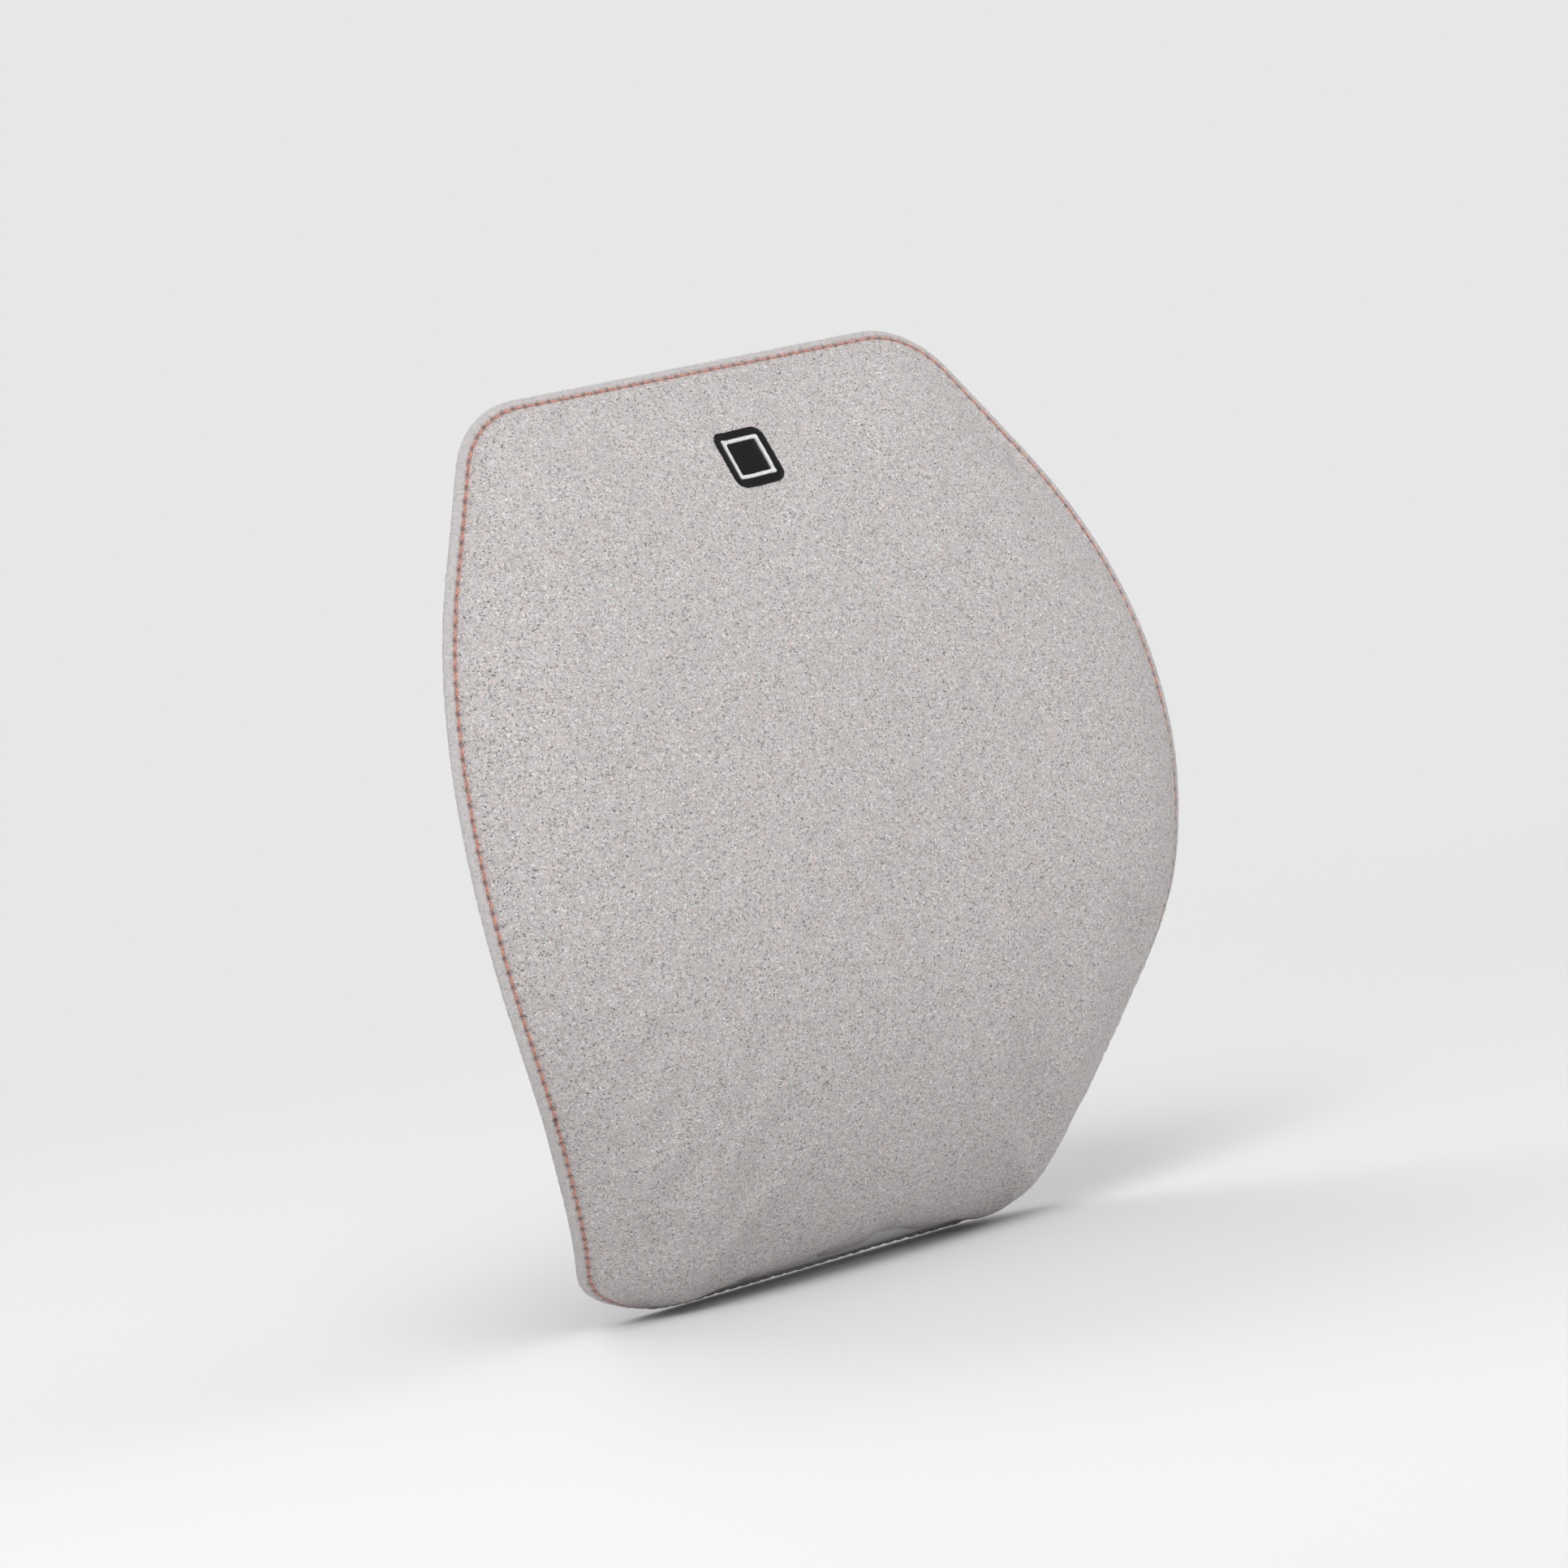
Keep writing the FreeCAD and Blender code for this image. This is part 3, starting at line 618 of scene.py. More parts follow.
def knit_material():
    """Charcoal knitted back cloth, with small loops in rows."""
    m = Material("knit_charcoal")
    where = m.where()
    split = m.node("SeparateXYZ", where)
    across = m.maths("SINE", m.maths("MULTIPLY", split[0], 2 * math.pi / LOOP_ACROSS))
    rows = m.maths("MULTIPLY", split[2], 2 * math.pi / LOOP_UP)
    up = m.maths("SINE", m.maths("ADD", rows, m.maths("MULTIPLY", across, 1.1)))
    loops = m.maths("MULTIPLY", m.maths("ABSOLUTE", across), m.maths("ADD", up, 1.0))
    height = m.maths("ADD", loops, m.noise(2600.0, where, Detail=4.0))
    tone = m.ramp(height, (0.2, (0.012, 0.012, 0.014)), (1.0, (0.075, 0.075, 0.082)))
    blotch = m.noise(45.0, where, Detail=3.0)
    colour = m.times(tone, m.ramp(blotch, (0.3, (0.85, 0.85, 0.86)), (0.7, 1.15)))
    # painted shade: darker along the seam and along the zip's edges
    colour = m.mix(m.attribute("painted_shade"), colour, (0.3, 0.3, 0.3), "MULTIPLY")
    m.set(Base_Color=colour, Roughness=0.85, Sheen_Weight=0.25)
    m.bump(height, 0.0004, 1.0)
    return m.made


def tape_material():
    """Woven zip tape, herringbone."""
    m = Material("zip_tape_weave")
    lie = {"wave_type": "BANDS", "bands_direction": "DIAGONAL"}
    weave = m.node("TexWave", Vector=m.where(), Scale=700.0, Distortion=0.3, **lie)["Fac"]
    tone = m.ramp(weave, (0.2, (0.007, 0.007, 0.008)), (0.8, (0.032, 0.032, 0.036)))
    m.set(Base_Color=tone, Roughness=0.75)
    m.bump(weave, 0.00015, 0.8)
    return m.made


def scaled(colour, by):
    return tuple(c * by for c in colour)


def plastic_material(name, colour, roughness, grain=900.0, depth=0.00006):
    """Moulded plastic with a fine grain and slightly uneven gloss."""
    m = Material(name)
    where = m.where()
    fine = m.noise(grain, where, Detail=3.0)
    gloss = m.maths("MULTIPLY_ADD", m.noise(80.0, where, Detail=2.0), 0.25, roughness - 0.1)
    m.set(Base_Color=m.ramp(fine, (0.3, scaled(colour, 0.8)), (0.7, scaled(colour, 1.2))), Roughness=gloss)
    m.bump(fine, depth, 0.5)
    return m.made


def metal_material():
    """Black lacquered zinc, rubbed a little paler along its edges."""
    m = Material("zip_metal_black")
    soft = m.node("Bevel", Radius=0.0003)[0]
    flat = m.node("VectorMath", soft, m.node("NewGeometry")["Normal"], operation="DOT_PRODUCT")["Value"]
    rub = m.noise(900.0, m.where(), Detail=4.0)
    edge = m.maths("SUBTRACT", 1.0, flat)
    mask = m.ramp(m.maths("MULTIPLY", edge, rub), (0.03, 0.0), (0.14, 0.55))
    m.set(Base_Color=m.mix(mask, (0.030, 0.030, 0.033), (0.20, 0.20, 0.20)), Metallic=0.6)
    m.set(Roughness=m.maths("MULTIPLY_ADD", rub, 0.22, 0.22))
    m.bump(rub, 0.00003, 0.4)
    return m.made


def foam_material(name, colour, cell):
    """Open-cell foam: rounded cells of the given size in metres."""
    m = Material(name)
    cells = m.node("TexVoronoi", Vector=m.where(), Scale=1.0 / cell, feature="SMOOTH_F1")["Distance"]
    m.set(Base_Color=m.ramp(cells, (0.1, scaled(colour, 0.6)), (0.6, colour)), Roughness=0.9)
    m.bump(cells, cell * 0.6, 0.8)
    return m.made


def fibre_material(name, colour, scale, depth):
    """Loose or bonded white fibres."""
    m = Material(name)
    strands = m.noise(scale, m.where(), Detail=6.0, Roughness=0.75, Distortion=2.0)
    tone = m.ramp(strands, (0.35, scaled(colour, 0.78)), (0.65, colour))
    m.set(Base_Color=tone, Roughness=0.9, Sheen_Weight=0.3)
    m.bump(strands, depth, 0.8)
    return m.made


def nap_material():
    """Loose wool fibres, each its own grey."""
    m = Material("felt_fibre")
    tone = m.ramp(
        m.attribute("shade"),
        (0.00, (0.24, 0.23, 0.23)),
        (0.18, (0.52, 0.50, 0.50)),
        (0.75, (0.68, 0.65, 0.645)),
        (1.00, (0.86, 0.84, 0.84)),
    )
    along = m.noise(2500.0, m.where(), Detail=1.0)
    m.set(Base_Color=m.times(tone, m.ramp(along, (0.3, 0.85), (0.7, 1.08))), Roughness=0.8)
    return m.made


FELT = felt_material()
NAP = nap_material()
# each thread's second colour is the dark of its ply and also its painted shade where it goes down into the
# cloth
ORANGE = thread_material("thread_orange", (0.84, 0.38, 0.26), (0.28, 0.065, 0.042))
DARK_THREAD = thread_material("thread_charcoal", (0.06, 0.06, 0.066), (0.02, 0.02, 0.022))
GREY_THREAD = thread_material("thread_grey", (0.17, 0.17, 0.18), (0.05, 0.05, 0.055))
BADGE_BLACK = satin_stitch_material("satin_black", (0.009, 0.009, 0.010), (0.003, 0.003, 0.0035))
BADGE_WHITE = satin_stitch_material("satin_white", (0.90, 0.90, 0.885), (0.62, 0.62, 0.61))
KNIT = knit_material()
TAPE = tape_material()
NYLON = plastic_material("nylon_black", (0.030, 0.030, 0.033), 0.32)
HOOKS = plastic_material("hook_nylon_black", (0.014, 0.014, 0.015), 0.34)
BOARD = plastic_material("board_plastic", (0.05, 0.05, 0.055), 0.5, 500.0, 0.0001)
METAL = metal_material()
LABEL = fibre_material("label_satin", (0.84, 0.84, 0.82), 1400.0, 0.00008)
LINER = fibre_material("liner_nonwoven", (0.80, 0.80, 0.78), 900.0, 0.0002)
WADDING = fibre_material("wadding_fibre", (0.88, 0.88, 0.87), 420.0, 0.0008)
SOFT_FOAM = foam_material("foam_soft", (0.86, 0.80, 0.62), 0.0011)
FIRM_FOAM = foam_material("foam_firm", (0.36, 0.39, 0.43), 0.0009)


def add(obj, slot, *nodes):
    """The piece rides on the pad and stands for these CAD nodes, which it hides; slot is not used."""
    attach(obj, "pad")
    if nodes:
        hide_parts(*nodes)
    return obj


# ---- the face ----

# distances inwards from the stitch line of the band's rings
INNER_BAND = (12.0, 9.6, 7.6, 6.0, 4.7, 3.7, 2.9, 2.2, 1.6, 1.1, 0.7, 0.35, 0.0)


CLOTH_STEPS = 20
CLOTH = {
    "quality": 6, "mass": 0.25, "tension_stiffness": 18.0, "compression_stiffness": 18.0,
    "shear_stiffness": 8.0, "bending_stiffness": 1.2, "use_pressure": True, "uniform_pressure_force": -4.0,
    "shrink_min": -0.012, "vertex_group_mass": "held",
}


def inflate(across, up):
    """Search tree of the blown-up face: a cloth sheet held at the stitch line, under pressure."""
    bottom, right, top, left = seam_sides()
    net = coons(dense(bottom, across), dense(right, up), dense(top[::-1], across), dense(left[::-1], up))
    u, v = net[..., 0], net[..., 1]
    start = 0.94 * face_height(u, v, inside_seam(u, v))
    faces = grid_faces(across, up)
    sheet = new_object("cloth_trial", place(u, v, start).reshape(-1, 3), faces, None)
    held = sheet.vertex_groups.new(name="held")
    index = np.arange(across * up).reshape(across, up)
    edge = np.concatenate([index[0], index[-1], index[1:-1, 0], index[1:-1, -1]])
    held.add([int(i) for i in edge], 1.0, "REPLACE")
    cloth = sheet.modifiers.new("cloth", "CLOTH")
    for setting, value in CLOTH.items():
        setattr(cloth.settings, setting, value)
    cloth.settings.effector_weights.gravity = 0.0
    cloth.collision_settings.use_collision = False
    cloth.collision_settings.use_self_collision = False
    for step in range(1, CLOTH_STEPS + 1):
        bpy.context.scene.frame_set(step)
    bpy.context.view_layer.update()
    evaluated = sheet.evaluated_get(bpy.context.evaluated_depsgraph_get())
    tree = BVHTree.FromPolygons([tuple(p.co) for p in evaluated.data.vertices], faces)
    bpy.data.objects.remove(sheet)
    bpy.context.scene.frame_set(1)
    return tree


def blown_height(tree, u, v, height):
    """Height at (u, v) of the blown-up sheet, never more than CAP from the design height."""
    result = np.array(height, float)
    flat = result.reshape(-1)
    feet = place(u, v, height).reshape(-1, 3)
    angles = np.broadcast_to(tilt(v), np.shape(height)).reshape(-1)
    run_up = 0.02
    for k, (foot, angle) in enumerate(zip(feet, angles)):
        way = Vector((0.0, -math.cos(angle), math.sin(angle)))
        origin = Vector(foot) - way * run_up
        hit = tree.ray_cast(origin, way, 0.05)[0]
        if hit is not None:
            flat[k] += max(-CAP, min(CAP, ((hit - origin).length - run_up) / MM))
    return result


def stitch_phase(run):
    """0 at a needle hole, 0.5 in the middle of a stitch."""
    return (run / GIRTH * STITCHES) % 1.0


def dent(distance, hole):
    """(nearness, depth, painted shade) of the felt where the thread pulls it down; hole is 1 at needle holes.
    """
    near = math.exp(-distance ** 2)
    return near, near * (HOLE_PULL + NEEDLE_DIP * hole), near * near * (0.10 + 0.80 * hole)


def rim_at(v, share, side, swell_by=1.0):
    """(distance out, height) of the rim at a share of its width; side 1 is the face, -1 the back."""
    fold = np.radians(RIM_FOLD_TOP + (RIM_FOLD_LOW - RIM_FOLD_TOP) * smooth_step((200.0 - v) / 120.0))
    fold = fold * (0.45 + 0.55 * smooth_step(share / 0.5))
    full = RIM_FACE if side > 0 else RIM_BACK
    thick = SEAM_LIFT + (full - SEAM_LIFT) * smooth_step(share / 0.3) * swell_by
    thick = thick * math.sqrt(max(0.0, 1.0 - share ** 6))
    out = RIM * share * np.cos(fold) + side * thick * np.sin(fold) * smooth_step(share / 0.2)
    return out, -RIM * share * np.sin(fold) + side * thick * np.cos(fold)


def middle_and_band(names, count):
    """Faces of the middle grid; where it meets the band, each cell has one more of the band's points."""
    faces = []
    columns, rows = names.shape
    for i in range(columns - 1):
        for j in range(rows - 1):
            quad = [names[i, j], names[i + 1, j], names[i + 1, j + 1], names[i, j + 1]]
            corner = []
            for a, b in zip(quad, quad[1:] + quad[:1]):
                corner.append(a)
                if a < count and b < count and min((b - a) % count, (a - b) % count) == 2:
                    corner.append((a + 1) % count if (b - a) % count == 2 else (a - 1) % count)
            faces.append(corner)
    return faces


def build_face():
    """Felt face and its search tree: blown-up middle, gathered band, rounded rim outside the stitches."""
    tree = inflate(72, 104)
    run, _ = ring_runs(RING)
    phase = stitch_phase(run)
    hole = np.exp(-(np.minimum(phase, 1.0 - phase) / 0.14) ** 2)
    gather = wobble(np.stack([run, 0 * run], -1), 13.0, 5)
    fine_gather = wobble(np.stack([run, 0 * run], -1), 6.0, 8)
    rows, painted_shade, rim = [], [], []
    # inside band, from the middle grid out to the stitch line
    for distance in INNER_BAND:
        at = RING - RING_NORMAL * distance
        height = face_height(at[:, 0], at[:, 1], np.full(len(at), distance))
        weight = float(smooth_step(distance / 10.0))
        if weight > 0.0:
            height = height + (blown_height(tree, at[:, 0], at[:, 1], height) - height) * weight
        # dent gives the painted shade of the felt in the stitch groove and the needle holes
        near, dip, shade = dent(distance / 1.3, hole)
        pull = math.exp(-(distance / 6.0) ** 2) * (1.0 - math.exp(-(distance / 1.2) ** 2))
        puff = 1.1 * math.exp(-((distance - 3.1) / 2.2) ** 2)
        height = height - dip + puff * (1.0 - 0.45 * hole)
        height = height + pull * (0.28 * gather + 0.16 * fine_gather)
        rows.append(on_pad(at[:, 0], at[:, 1], height))
        painted_shade.append(shade)
        rim.append(np.full(len(RING), 0.15 * near))
    # rim, from the stitch line to the outer edge
    rng = np.random.default_rng(4)
    for share in (0.05, 0.10, 0.17, 0.26, 0.38, 0.52, 0.66, 0.78, 0.87, 0.94, 0.98, 1.0):
        near, dip, shade = dent(RIM * share / 1.1, hole)
        bulge = 1.0 - 0.12 * hole * math.exp(-((share - 0.3) / 0.3) ** 2) + 0.08 * gather + 0.05 * fine_gather
        distance, height = rim_at(RING[:, 1], share, 1, bulge)
        rough = smooth_step((share - 0.5) / 0.5) * 0.07 * rng.normal(size=len(RING))
        at = RING + RING_NORMAL * (distance + rough - 0.10 * share * hole)[:, None]
        rows.append(on_pad(at[:, 0], at[:, 1], height - dip))
        painted_shade.append(shade)
        # paler rim colour: partly smoother felt, partly painted highlight
        rim.append(np.full(len(RING), 0.15 + 0.45 * smooth_step(share / 0.4)))
    band = np.concatenate(rows)
    # middle grid, half as dense along its edge as the band
    edge = (RING - RING_NORMAL * INNER_BAND[0])[::2]
    n, m = CELLS_ACROSS, CELLS_UP
    left = np.concatenate([edge[2 * n + m:], edge[:1]])[::-1]
    net = coons(edge[: n + 1], edge[n: n + m + 1], edge[n + m: 2 * n + m + 1][::-1], left)
    u, v = net[..., 0], net[..., 1]
    distance = inside_seam(u, v)
    height = blown_height(tree, u, v, face_height(u, v, distance))
    for _ in range(6):
        mean = (height[:-2, 1:-1] + height[2:, 1:-1] + height[1:-1, :-2] + height[1:-1, 2:]) / 4.0
        height[1:-1, 1:-1] += 0.6 * (mean - height[1:-1, 1:-1])
    height = height + smooth_step((distance - 12.0) / 20.0) * 0.35 * wobble(net, 42.0, 3)
    middle = on_pad(u, v, height)
    # join: the band's first ring takes the place of the grid's edge points
    count = len(RING)
    walk = [(i, 0) for i in range(n)] + [(n, j) for j in range(m)]
    walk += [(n - i, m) for i in range(n)] + [(0, m - j) for j in range(m)]
    names = -np.ones((n + 1, m + 1), int)
    for k, (i, j) in enumerate(walk):
        names[i, j] = 2 * k
    keep = names < 0
    names[keep] = len(band) + np.arange(keep.sum())
    points = np.concatenate([band, middle[keep]])
    faces = middle_and_band(names, count)
    faces += [(b, a, d, c) for a, b, c, d in grid_faces(len(rows), count, 0, True)]
    face = new_object("front_felt", points, faces, FELT)
    flat = np.zeros(int(keep.sum()))
    set_attribute(face, "painted_shade", np.concatenate(painted_shade + [flat]))
    set_attribute(face, "rim", np.concatenate(rim + [flat]))
    return face, BVHTree.FromPolygons([tuple(p) for p in points], faces)


def felt_height(tree, u, v):
    """Height of the finished felt above the sheet at (u, v)."""
    u, v = np.broadcast_arrays(u, v)
    above = 60.0
    angle = tilt(v).ravel()
    starts = place(u, v, above).reshape(-1, 3)
    result = np.zeros(len(starts))
    for k, start in enumerate(starts):
        way = Vector((0.0, math.cos(angle[k]), -math.sin(angle[k])))
        hit = tree.ray_cast(Vector(start), way, 0.1)
        result[k] = above - (hit[3] / MM if hit[0] is not None else above)
    return result.reshape(u.shape)


def nap_fibres(tree):
    """Short loose fibres that stand off the felt: flat on the face, and out from its rim."""
    rng = np.random.default_rng(12)
    u = rng.uniform(-SEAM_WIDE_HALF, SEAM_WIDE_HALF, 3 * FACE_FIBRES)
    v = rng.uniform(0.0, SEAM_HEIGHT, 3 * FACE_FIBRES)
    kept = np.flatnonzero(inside_seam(u, v) > 3.0)[:FACE_FIBRES]
    u, v = u[kept], v[kept]
    height = felt_height(tree, u, v)
    angle = rng.uniform(0.0, 2.0 * math.pi, len(u))
    length = rng.uniform(0.8, 2.2, len(u))
    lift = rng.uniform(0.05, 0.45, len(u))
    root = np.stack([u, v, height - 0.1], -1)
    tip = root + np.stack([length * np.cos(angle), length * np.sin(angle), 0.1 + lift], -1)
    pick = rng.integers(0, len(RING), RIM_FIBRES)
    ring, normal = RING[pick], RING_NORMAL[pick]
    share = rng.uniform(0.25, 1.0, RIM_FIBRES) ** 0.6
    out, low = np.empty(RIM_FIBRES), np.empty(RIM_FIBRES)
    for k in range(RIM_FIBRES):
        out[k], low[k] = rim_at(ring[k, 1], share[k], 1)
    at = ring + normal * out[:, None]
    reach = rng.uniform(0.25, 0.8, RIM_FIBRES)
    side = rng.normal(size=RIM_FIBRES) * 0.5
    along = np.stack([-normal[:, 1], normal[:, 0]], -1)
    low = low - wrap(at[:, 0], at[:, 1])
    rim_root = np.concatenate([at - normal * 0.15, (low - 0.1)[:, None]], 1)
    shift = normal * (reach * share)[:, None] + along * side[:, None]
    rim_tip = np.concatenate([at + shift, (low + reach * (1.1 - share))[:, None]], 1)
    root, tip = np.concatenate([root, rim_root]), np.concatenate([tip, rim_tip])
    bend = rng.normal(size=root.shape) * 0.12
    spine = np.stack([root, (root + tip) / 2 + bend, tip], 1)
    path = place(spine[..., 0], spine[..., 1], spine[..., 2])
    way = path[:, 2] - path[:, 0]
    way /= np.linalg.norm(way, axis=1)[:, None]
    cross = np.cross(way, rng.normal(size=way.shape))
    cross /= np.linalg.norm(cross, axis=1)[:, None]
    other = np.cross(way, cross)
    radius = np.array([0.032, 0.028, 0.010]) * MM
    points = []
    for turn in (0.0, 2.1, 4.2):
        edge = math.cos(turn) * cross + math.sin(turn) * other
        points.append(path + edge[:, None] * radius[None, :, None])
    points = np.stack(points, 2).reshape(-1, 3)
    faces = []
    for a in range(0, len(points), 9):
        for b in (a, a + 3):
            faces += [(b, b + 1, b + 4, b + 3), (b + 1, b + 2, b + 5, b + 4), (b + 2, b, b + 3, b + 5)]
        faces += [(a + 2, a + 1, a), (a + 6, a + 7, a + 8)]
    nap = new_object("felt_nap", points, faces, NAP)
    set_attribute(nap, "shade", np.repeat(rng.uniform(0.0, 1.0, len(root)), 9))
    return nap


def seam_point(run):
    """(u, v) and outward normal on the stitch line at distances along it."""
    runs, total = ring_runs(RING)
    runs = np.append(runs, total)
    run = np.asarray(run) % total
    rings = [np.concatenate([ring, ring[:1]]) for ring in (RING, RING_NORMAL)]
    return [np.stack([np.interp(run, runs, ring[:, c]) for c in (0, 1)], -1) for ring in rings]


def stitch_ring(name, material, side, sunk_height, lift, slant):
    """A stitch between each two needle holes round the seam, arched over the cloth and sunk at its ends."""
    batch = Batch()
    rng = random.Random(11)
    sunk = []
    for k in range(STITCHES):
        share = np.linspace(0.09, 0.91, 11)
        run = (k + share) / STITCHES * GIRTH
        at, out = seam_point(run)
        lean = (share - 0.5) * slant + rng.uniform(-0.06, 0.06)
        at = at + out * lean[:, None]
        arch = np.sqrt(np.maximum(np.sin(math.pi * (share - share[0]) / (share[-1] - share[0])), 0.0))
        height = sunk_height + (lift + rng.uniform(-0.05, 0.05)) * arch
        path = on_pad(at[:, 0], at[:, 1], side * height)
        batch.add(tube(path, THREAD_R * MM * (0.45 + 0.55 * arch), 8))
        # painted shade on the thread where it goes down into the needle holes
        sunk.append(np.repeat(1.0 - arch, 8))
    obj = batch.build(name, material)
    set_attribute(obj, "sunk", np.concatenate(sunk))
    return obj


# ---- the back ----


def zip_edge(u, side):
    """Height of a back panel's edge along the zip: apart over the zip, together beyond its ends."""
    gap = SLOT_HALF * (1.0 - smooth_step((np.abs(u) - ZIP_HALF - 1.0) / 9.0))
    return ZIP_UP + side * (gap + SLOT_CLOSED)


def build_back_panel(side):
    """One knitted back panel, above (1) or below (-1) the zip."""
    bottom, right, top, _ = seam_sides()
    right = dense(right, 600)
    across, up = 150, (180 if side > 0 else 80)
    end_v = ZIP_UP + side * SLOT_CLOSED
    kept = right[(right[:, 1] - end_v) * side > 0]
    edge_u = kept[0 if side > 0 else -1, 0]
    line_u = np.linspace(-edge_u, edge_u, across)
    line = np.stack([line_u, zip_edge(line_u, side)], -1)
    if side > 0:
        right_side = dense(np.concatenate([[(edge_u, end_v)], kept]), up)
        net = coons(line, right_side, dense(top[::-1], across), right_side * (-1, 1))
    else:
        right_side = dense(np.concatenate([kept, [(edge_u, end_v)]]), up)
        net = coons(dense(bottom, across), right_side, line, right_side * (-1, 1))
    u, v = net[..., 0], net[..., 1]
    distance = np.maximum(inside_seam(u, v), 0.0)
    from_zip = np.abs(v - zip_edge(u, side))
    near_zip = smooth_step(distance / 18.0) * np.exp(-(from_zip / 2.2) ** 2)
    beside_zip = smooth_step(distance / 18.0) * np.exp(-((from_zip - 3.2) / 2.4) ** 2)
    near_seam = np.exp(-(distance / 1.6) ** 2)
    height = back_height(distance) + 0.5 * smooth_step(distance / 20.0) * wobble(net, 55.0, 21)
    height = height - 0.5 * beside_zip + 0.9 * near_zip + 0.1 * near_seam
    points = [on_pad(u, v, height).reshape(-1, 3)]
    # painted shade along the seam and along the zip's edges
    painted_shade = [(0.6 * near_seam + 0.8 * np.exp(-(from_zip / 1.0) ** 2)).ravel()]
    faces = grid_faces(*u.shape)
    flat = net.reshape(-1, 2)
    start = len(flat)
    # rim outside the seam, joined to the net's outer sides
    index = np.arange(start).reshape(u.shape)
    if side > 0:
        before = np.concatenate([index[-1, :], index[:-1, -1][::-1], index[0, :-1][::-1]])
    else:
        before = np.concatenate([index[0, ::-1], index[1:, 0], index[-1, 1:]])
    ring = flat[before]
    way = np.gradient(ring, axis=0)
    way /= np.linalg.norm(way, axis=1)[:, None]
    out = np.stack([way[:, 1], -way[:, 0]], -1)
    for share in (0.06, 0.14, 0.25, 0.40, 0.58, 0.75, 0.88, 0.96, 1.0):
        distance, drop = rim_at(ring[:, 1], share, -1)
        at = ring + out * (distance - 0.35 * share)[:, None]
        near = math.exp(-(RIM * share / 1.2) ** 2)
        points.append(on_pad(at[:, 0], at[:, 1], drop + 0.1 * near))
        # painted shade on the rim next to the seam
        painted_shade.append(np.full(len(ring), 0.5 * near))
        now = start + np.arange(len(ring))
        faces += between(before, now)
        before = now
        start += len(ring)
    # turned-under hem along the zip
    before = index[:, 0] if side > 0 else index[:, -1]
    hem_u, hem_v = flat[before].T
    base = back_height(np.maximum(inside_seam(hem_u, hem_v), 0.0)) + 0.9
    for shift, depth in ((0.35, 0.35), (0.30, 0.9), (-0.6, 1.15), (-3.5, 1.15)):
        points.append(on_pad(hem_u, hem_v - side * shift, base - 0.35 + depth * 0.9))
        painted_shade.append(np.zeros(len(before)))
        now = start + np.arange(len(before))
        faces += between(before, now)
        before = now
        start += len(before)
    name = "back_knit_upper" if side > 0 else "back_knit_lower"
    panel = new_object(name, np.concatenate(points), faces, KNIT)
    set_attribute(panel, "painted_shade", np.clip(np.concatenate(painted_shade), 0.0, 1.0))
    return face_outward(panel)


# ---- zip ----


def ribbon(name, side):
    """A zip tape above (1) or below (-1) the coils, ridged along its edges; the tapes meet past the stops."""
    across = np.linspace(0.0, 1.0, 13)
    ridge = 0.12 * (np.exp(-(across / 0.08) ** 2) + np.exp(-((1 - across) / 0.08) ** 2))
    share = np.concatenate([across, across[::-1]])
    depth = np.concatenate([TAPE_DEPTH + ridge, np.full(13, TAPE_DEPTH - TAPE_THICK)])
    rows = []
    for u in np.linspace(-ZIP_HALF - TAPE_OVERRUN, ZIP_HALF + TAPE_OVERRUN, 90):
        inner = TAPE_GAP - (TAPE_GAP - 0.02) * smooth_step((abs(u) - ZIP_HALF + 1.0) / 3.0)
        rows.append(place(u, ZIP_UP + side * (inner + (TAPE_WIDTH - inner) * share), -depth))
    return face_outward(new_object(name, *closed_sweep(rows), TAPE))


def coil(name, side):
    """A nylon coil: one flattened helix from end to end of the zip, half a turn off its partner."""
    turns = int(2 * (ZIP_HALF - 0.5) / COIL_PITCH)
    angle = np.linspace(0.0, turns * 2 * math.pi, turns * 14 + 1)
    start = -ZIP_HALF + 0.5 + (0.0 if side > 0 else COIL_PITCH / 2)
    u = start + angle / (2 * math.pi) * COIL_PITCH
    across = 1.25 - 1.55 * np.cos(angle)
    depth = COIL_DEPTH + 0.48 * np.sin(angle)
    path = place(u, ZIP_UP + side * across, -depth)
    return face_outward(new_object(name, *tube(path, COIL_WIRE_R * MM, 6, up=(1.0, 0.0, 0.0)), NYLON))


def straight_stitches(batch, start, end, depth, pitch):
    """Stitches from one (u, v) to another on the back, on a surface at a depth behind the sheet."""
    start, end = np.array(start, float), np.array(end, float)
    count = max(1, round(np.linalg.norm(end - start) / pitch))
    rise = 0.25 * np.sin(math.pi * np.linspace(0.0, 1.0, 7)) - 0.12
    for k in range(count):
        share = np.linspace(k + 0.08, k + 0.92, 7) / count
        at = start + (end - start) * share[:, None]
        batch.add(tube(place(at[:, 0], at[:, 1], -(depth + rise)), THIN_THREAD_R * MM, 6))


def zip_stitches():
    """Two rows of stitches that hold the tapes to the back panels."""
    batch = Batch()
    for side in (1, -1):
        v = ZIP_UP + side * (SLOT_HALF + 3.0)
        straight_stitches(batch, (-ZIP_HALF - 3.0, v), (ZIP_HALF + 3.0, v), BACK_OUTSIDE + 0.1, 3.2)
    return batch.build("zip_stitches", GREY_THREAD)


# ---- hook strips ----


def half_length(node):
    """Half the length of a CAD node along the zip's way, in millimetres."""
    low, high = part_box(node)
    return (high.x - low.x) / 2 / MM


def strip_outline(half_long, half_high, radius, steps=8):
    """A rounded rectangle as a closed ring."""
    ring = []
    for cx, cy, start in ((1, 1, 0.0), (-1, 1, 0.5), (-1, -1, 1.0), (1, -1, 1.5)):
        for k in range(steps + 1):
            angle = math.pi * (start + 0.5 * k / steps)
            x = cx * (half_long - radius) + radius * math.cos(angle)
            ring.append((x, cy * (half_high - radius) + radius * math.sin(angle)))
    return np.array(ring)


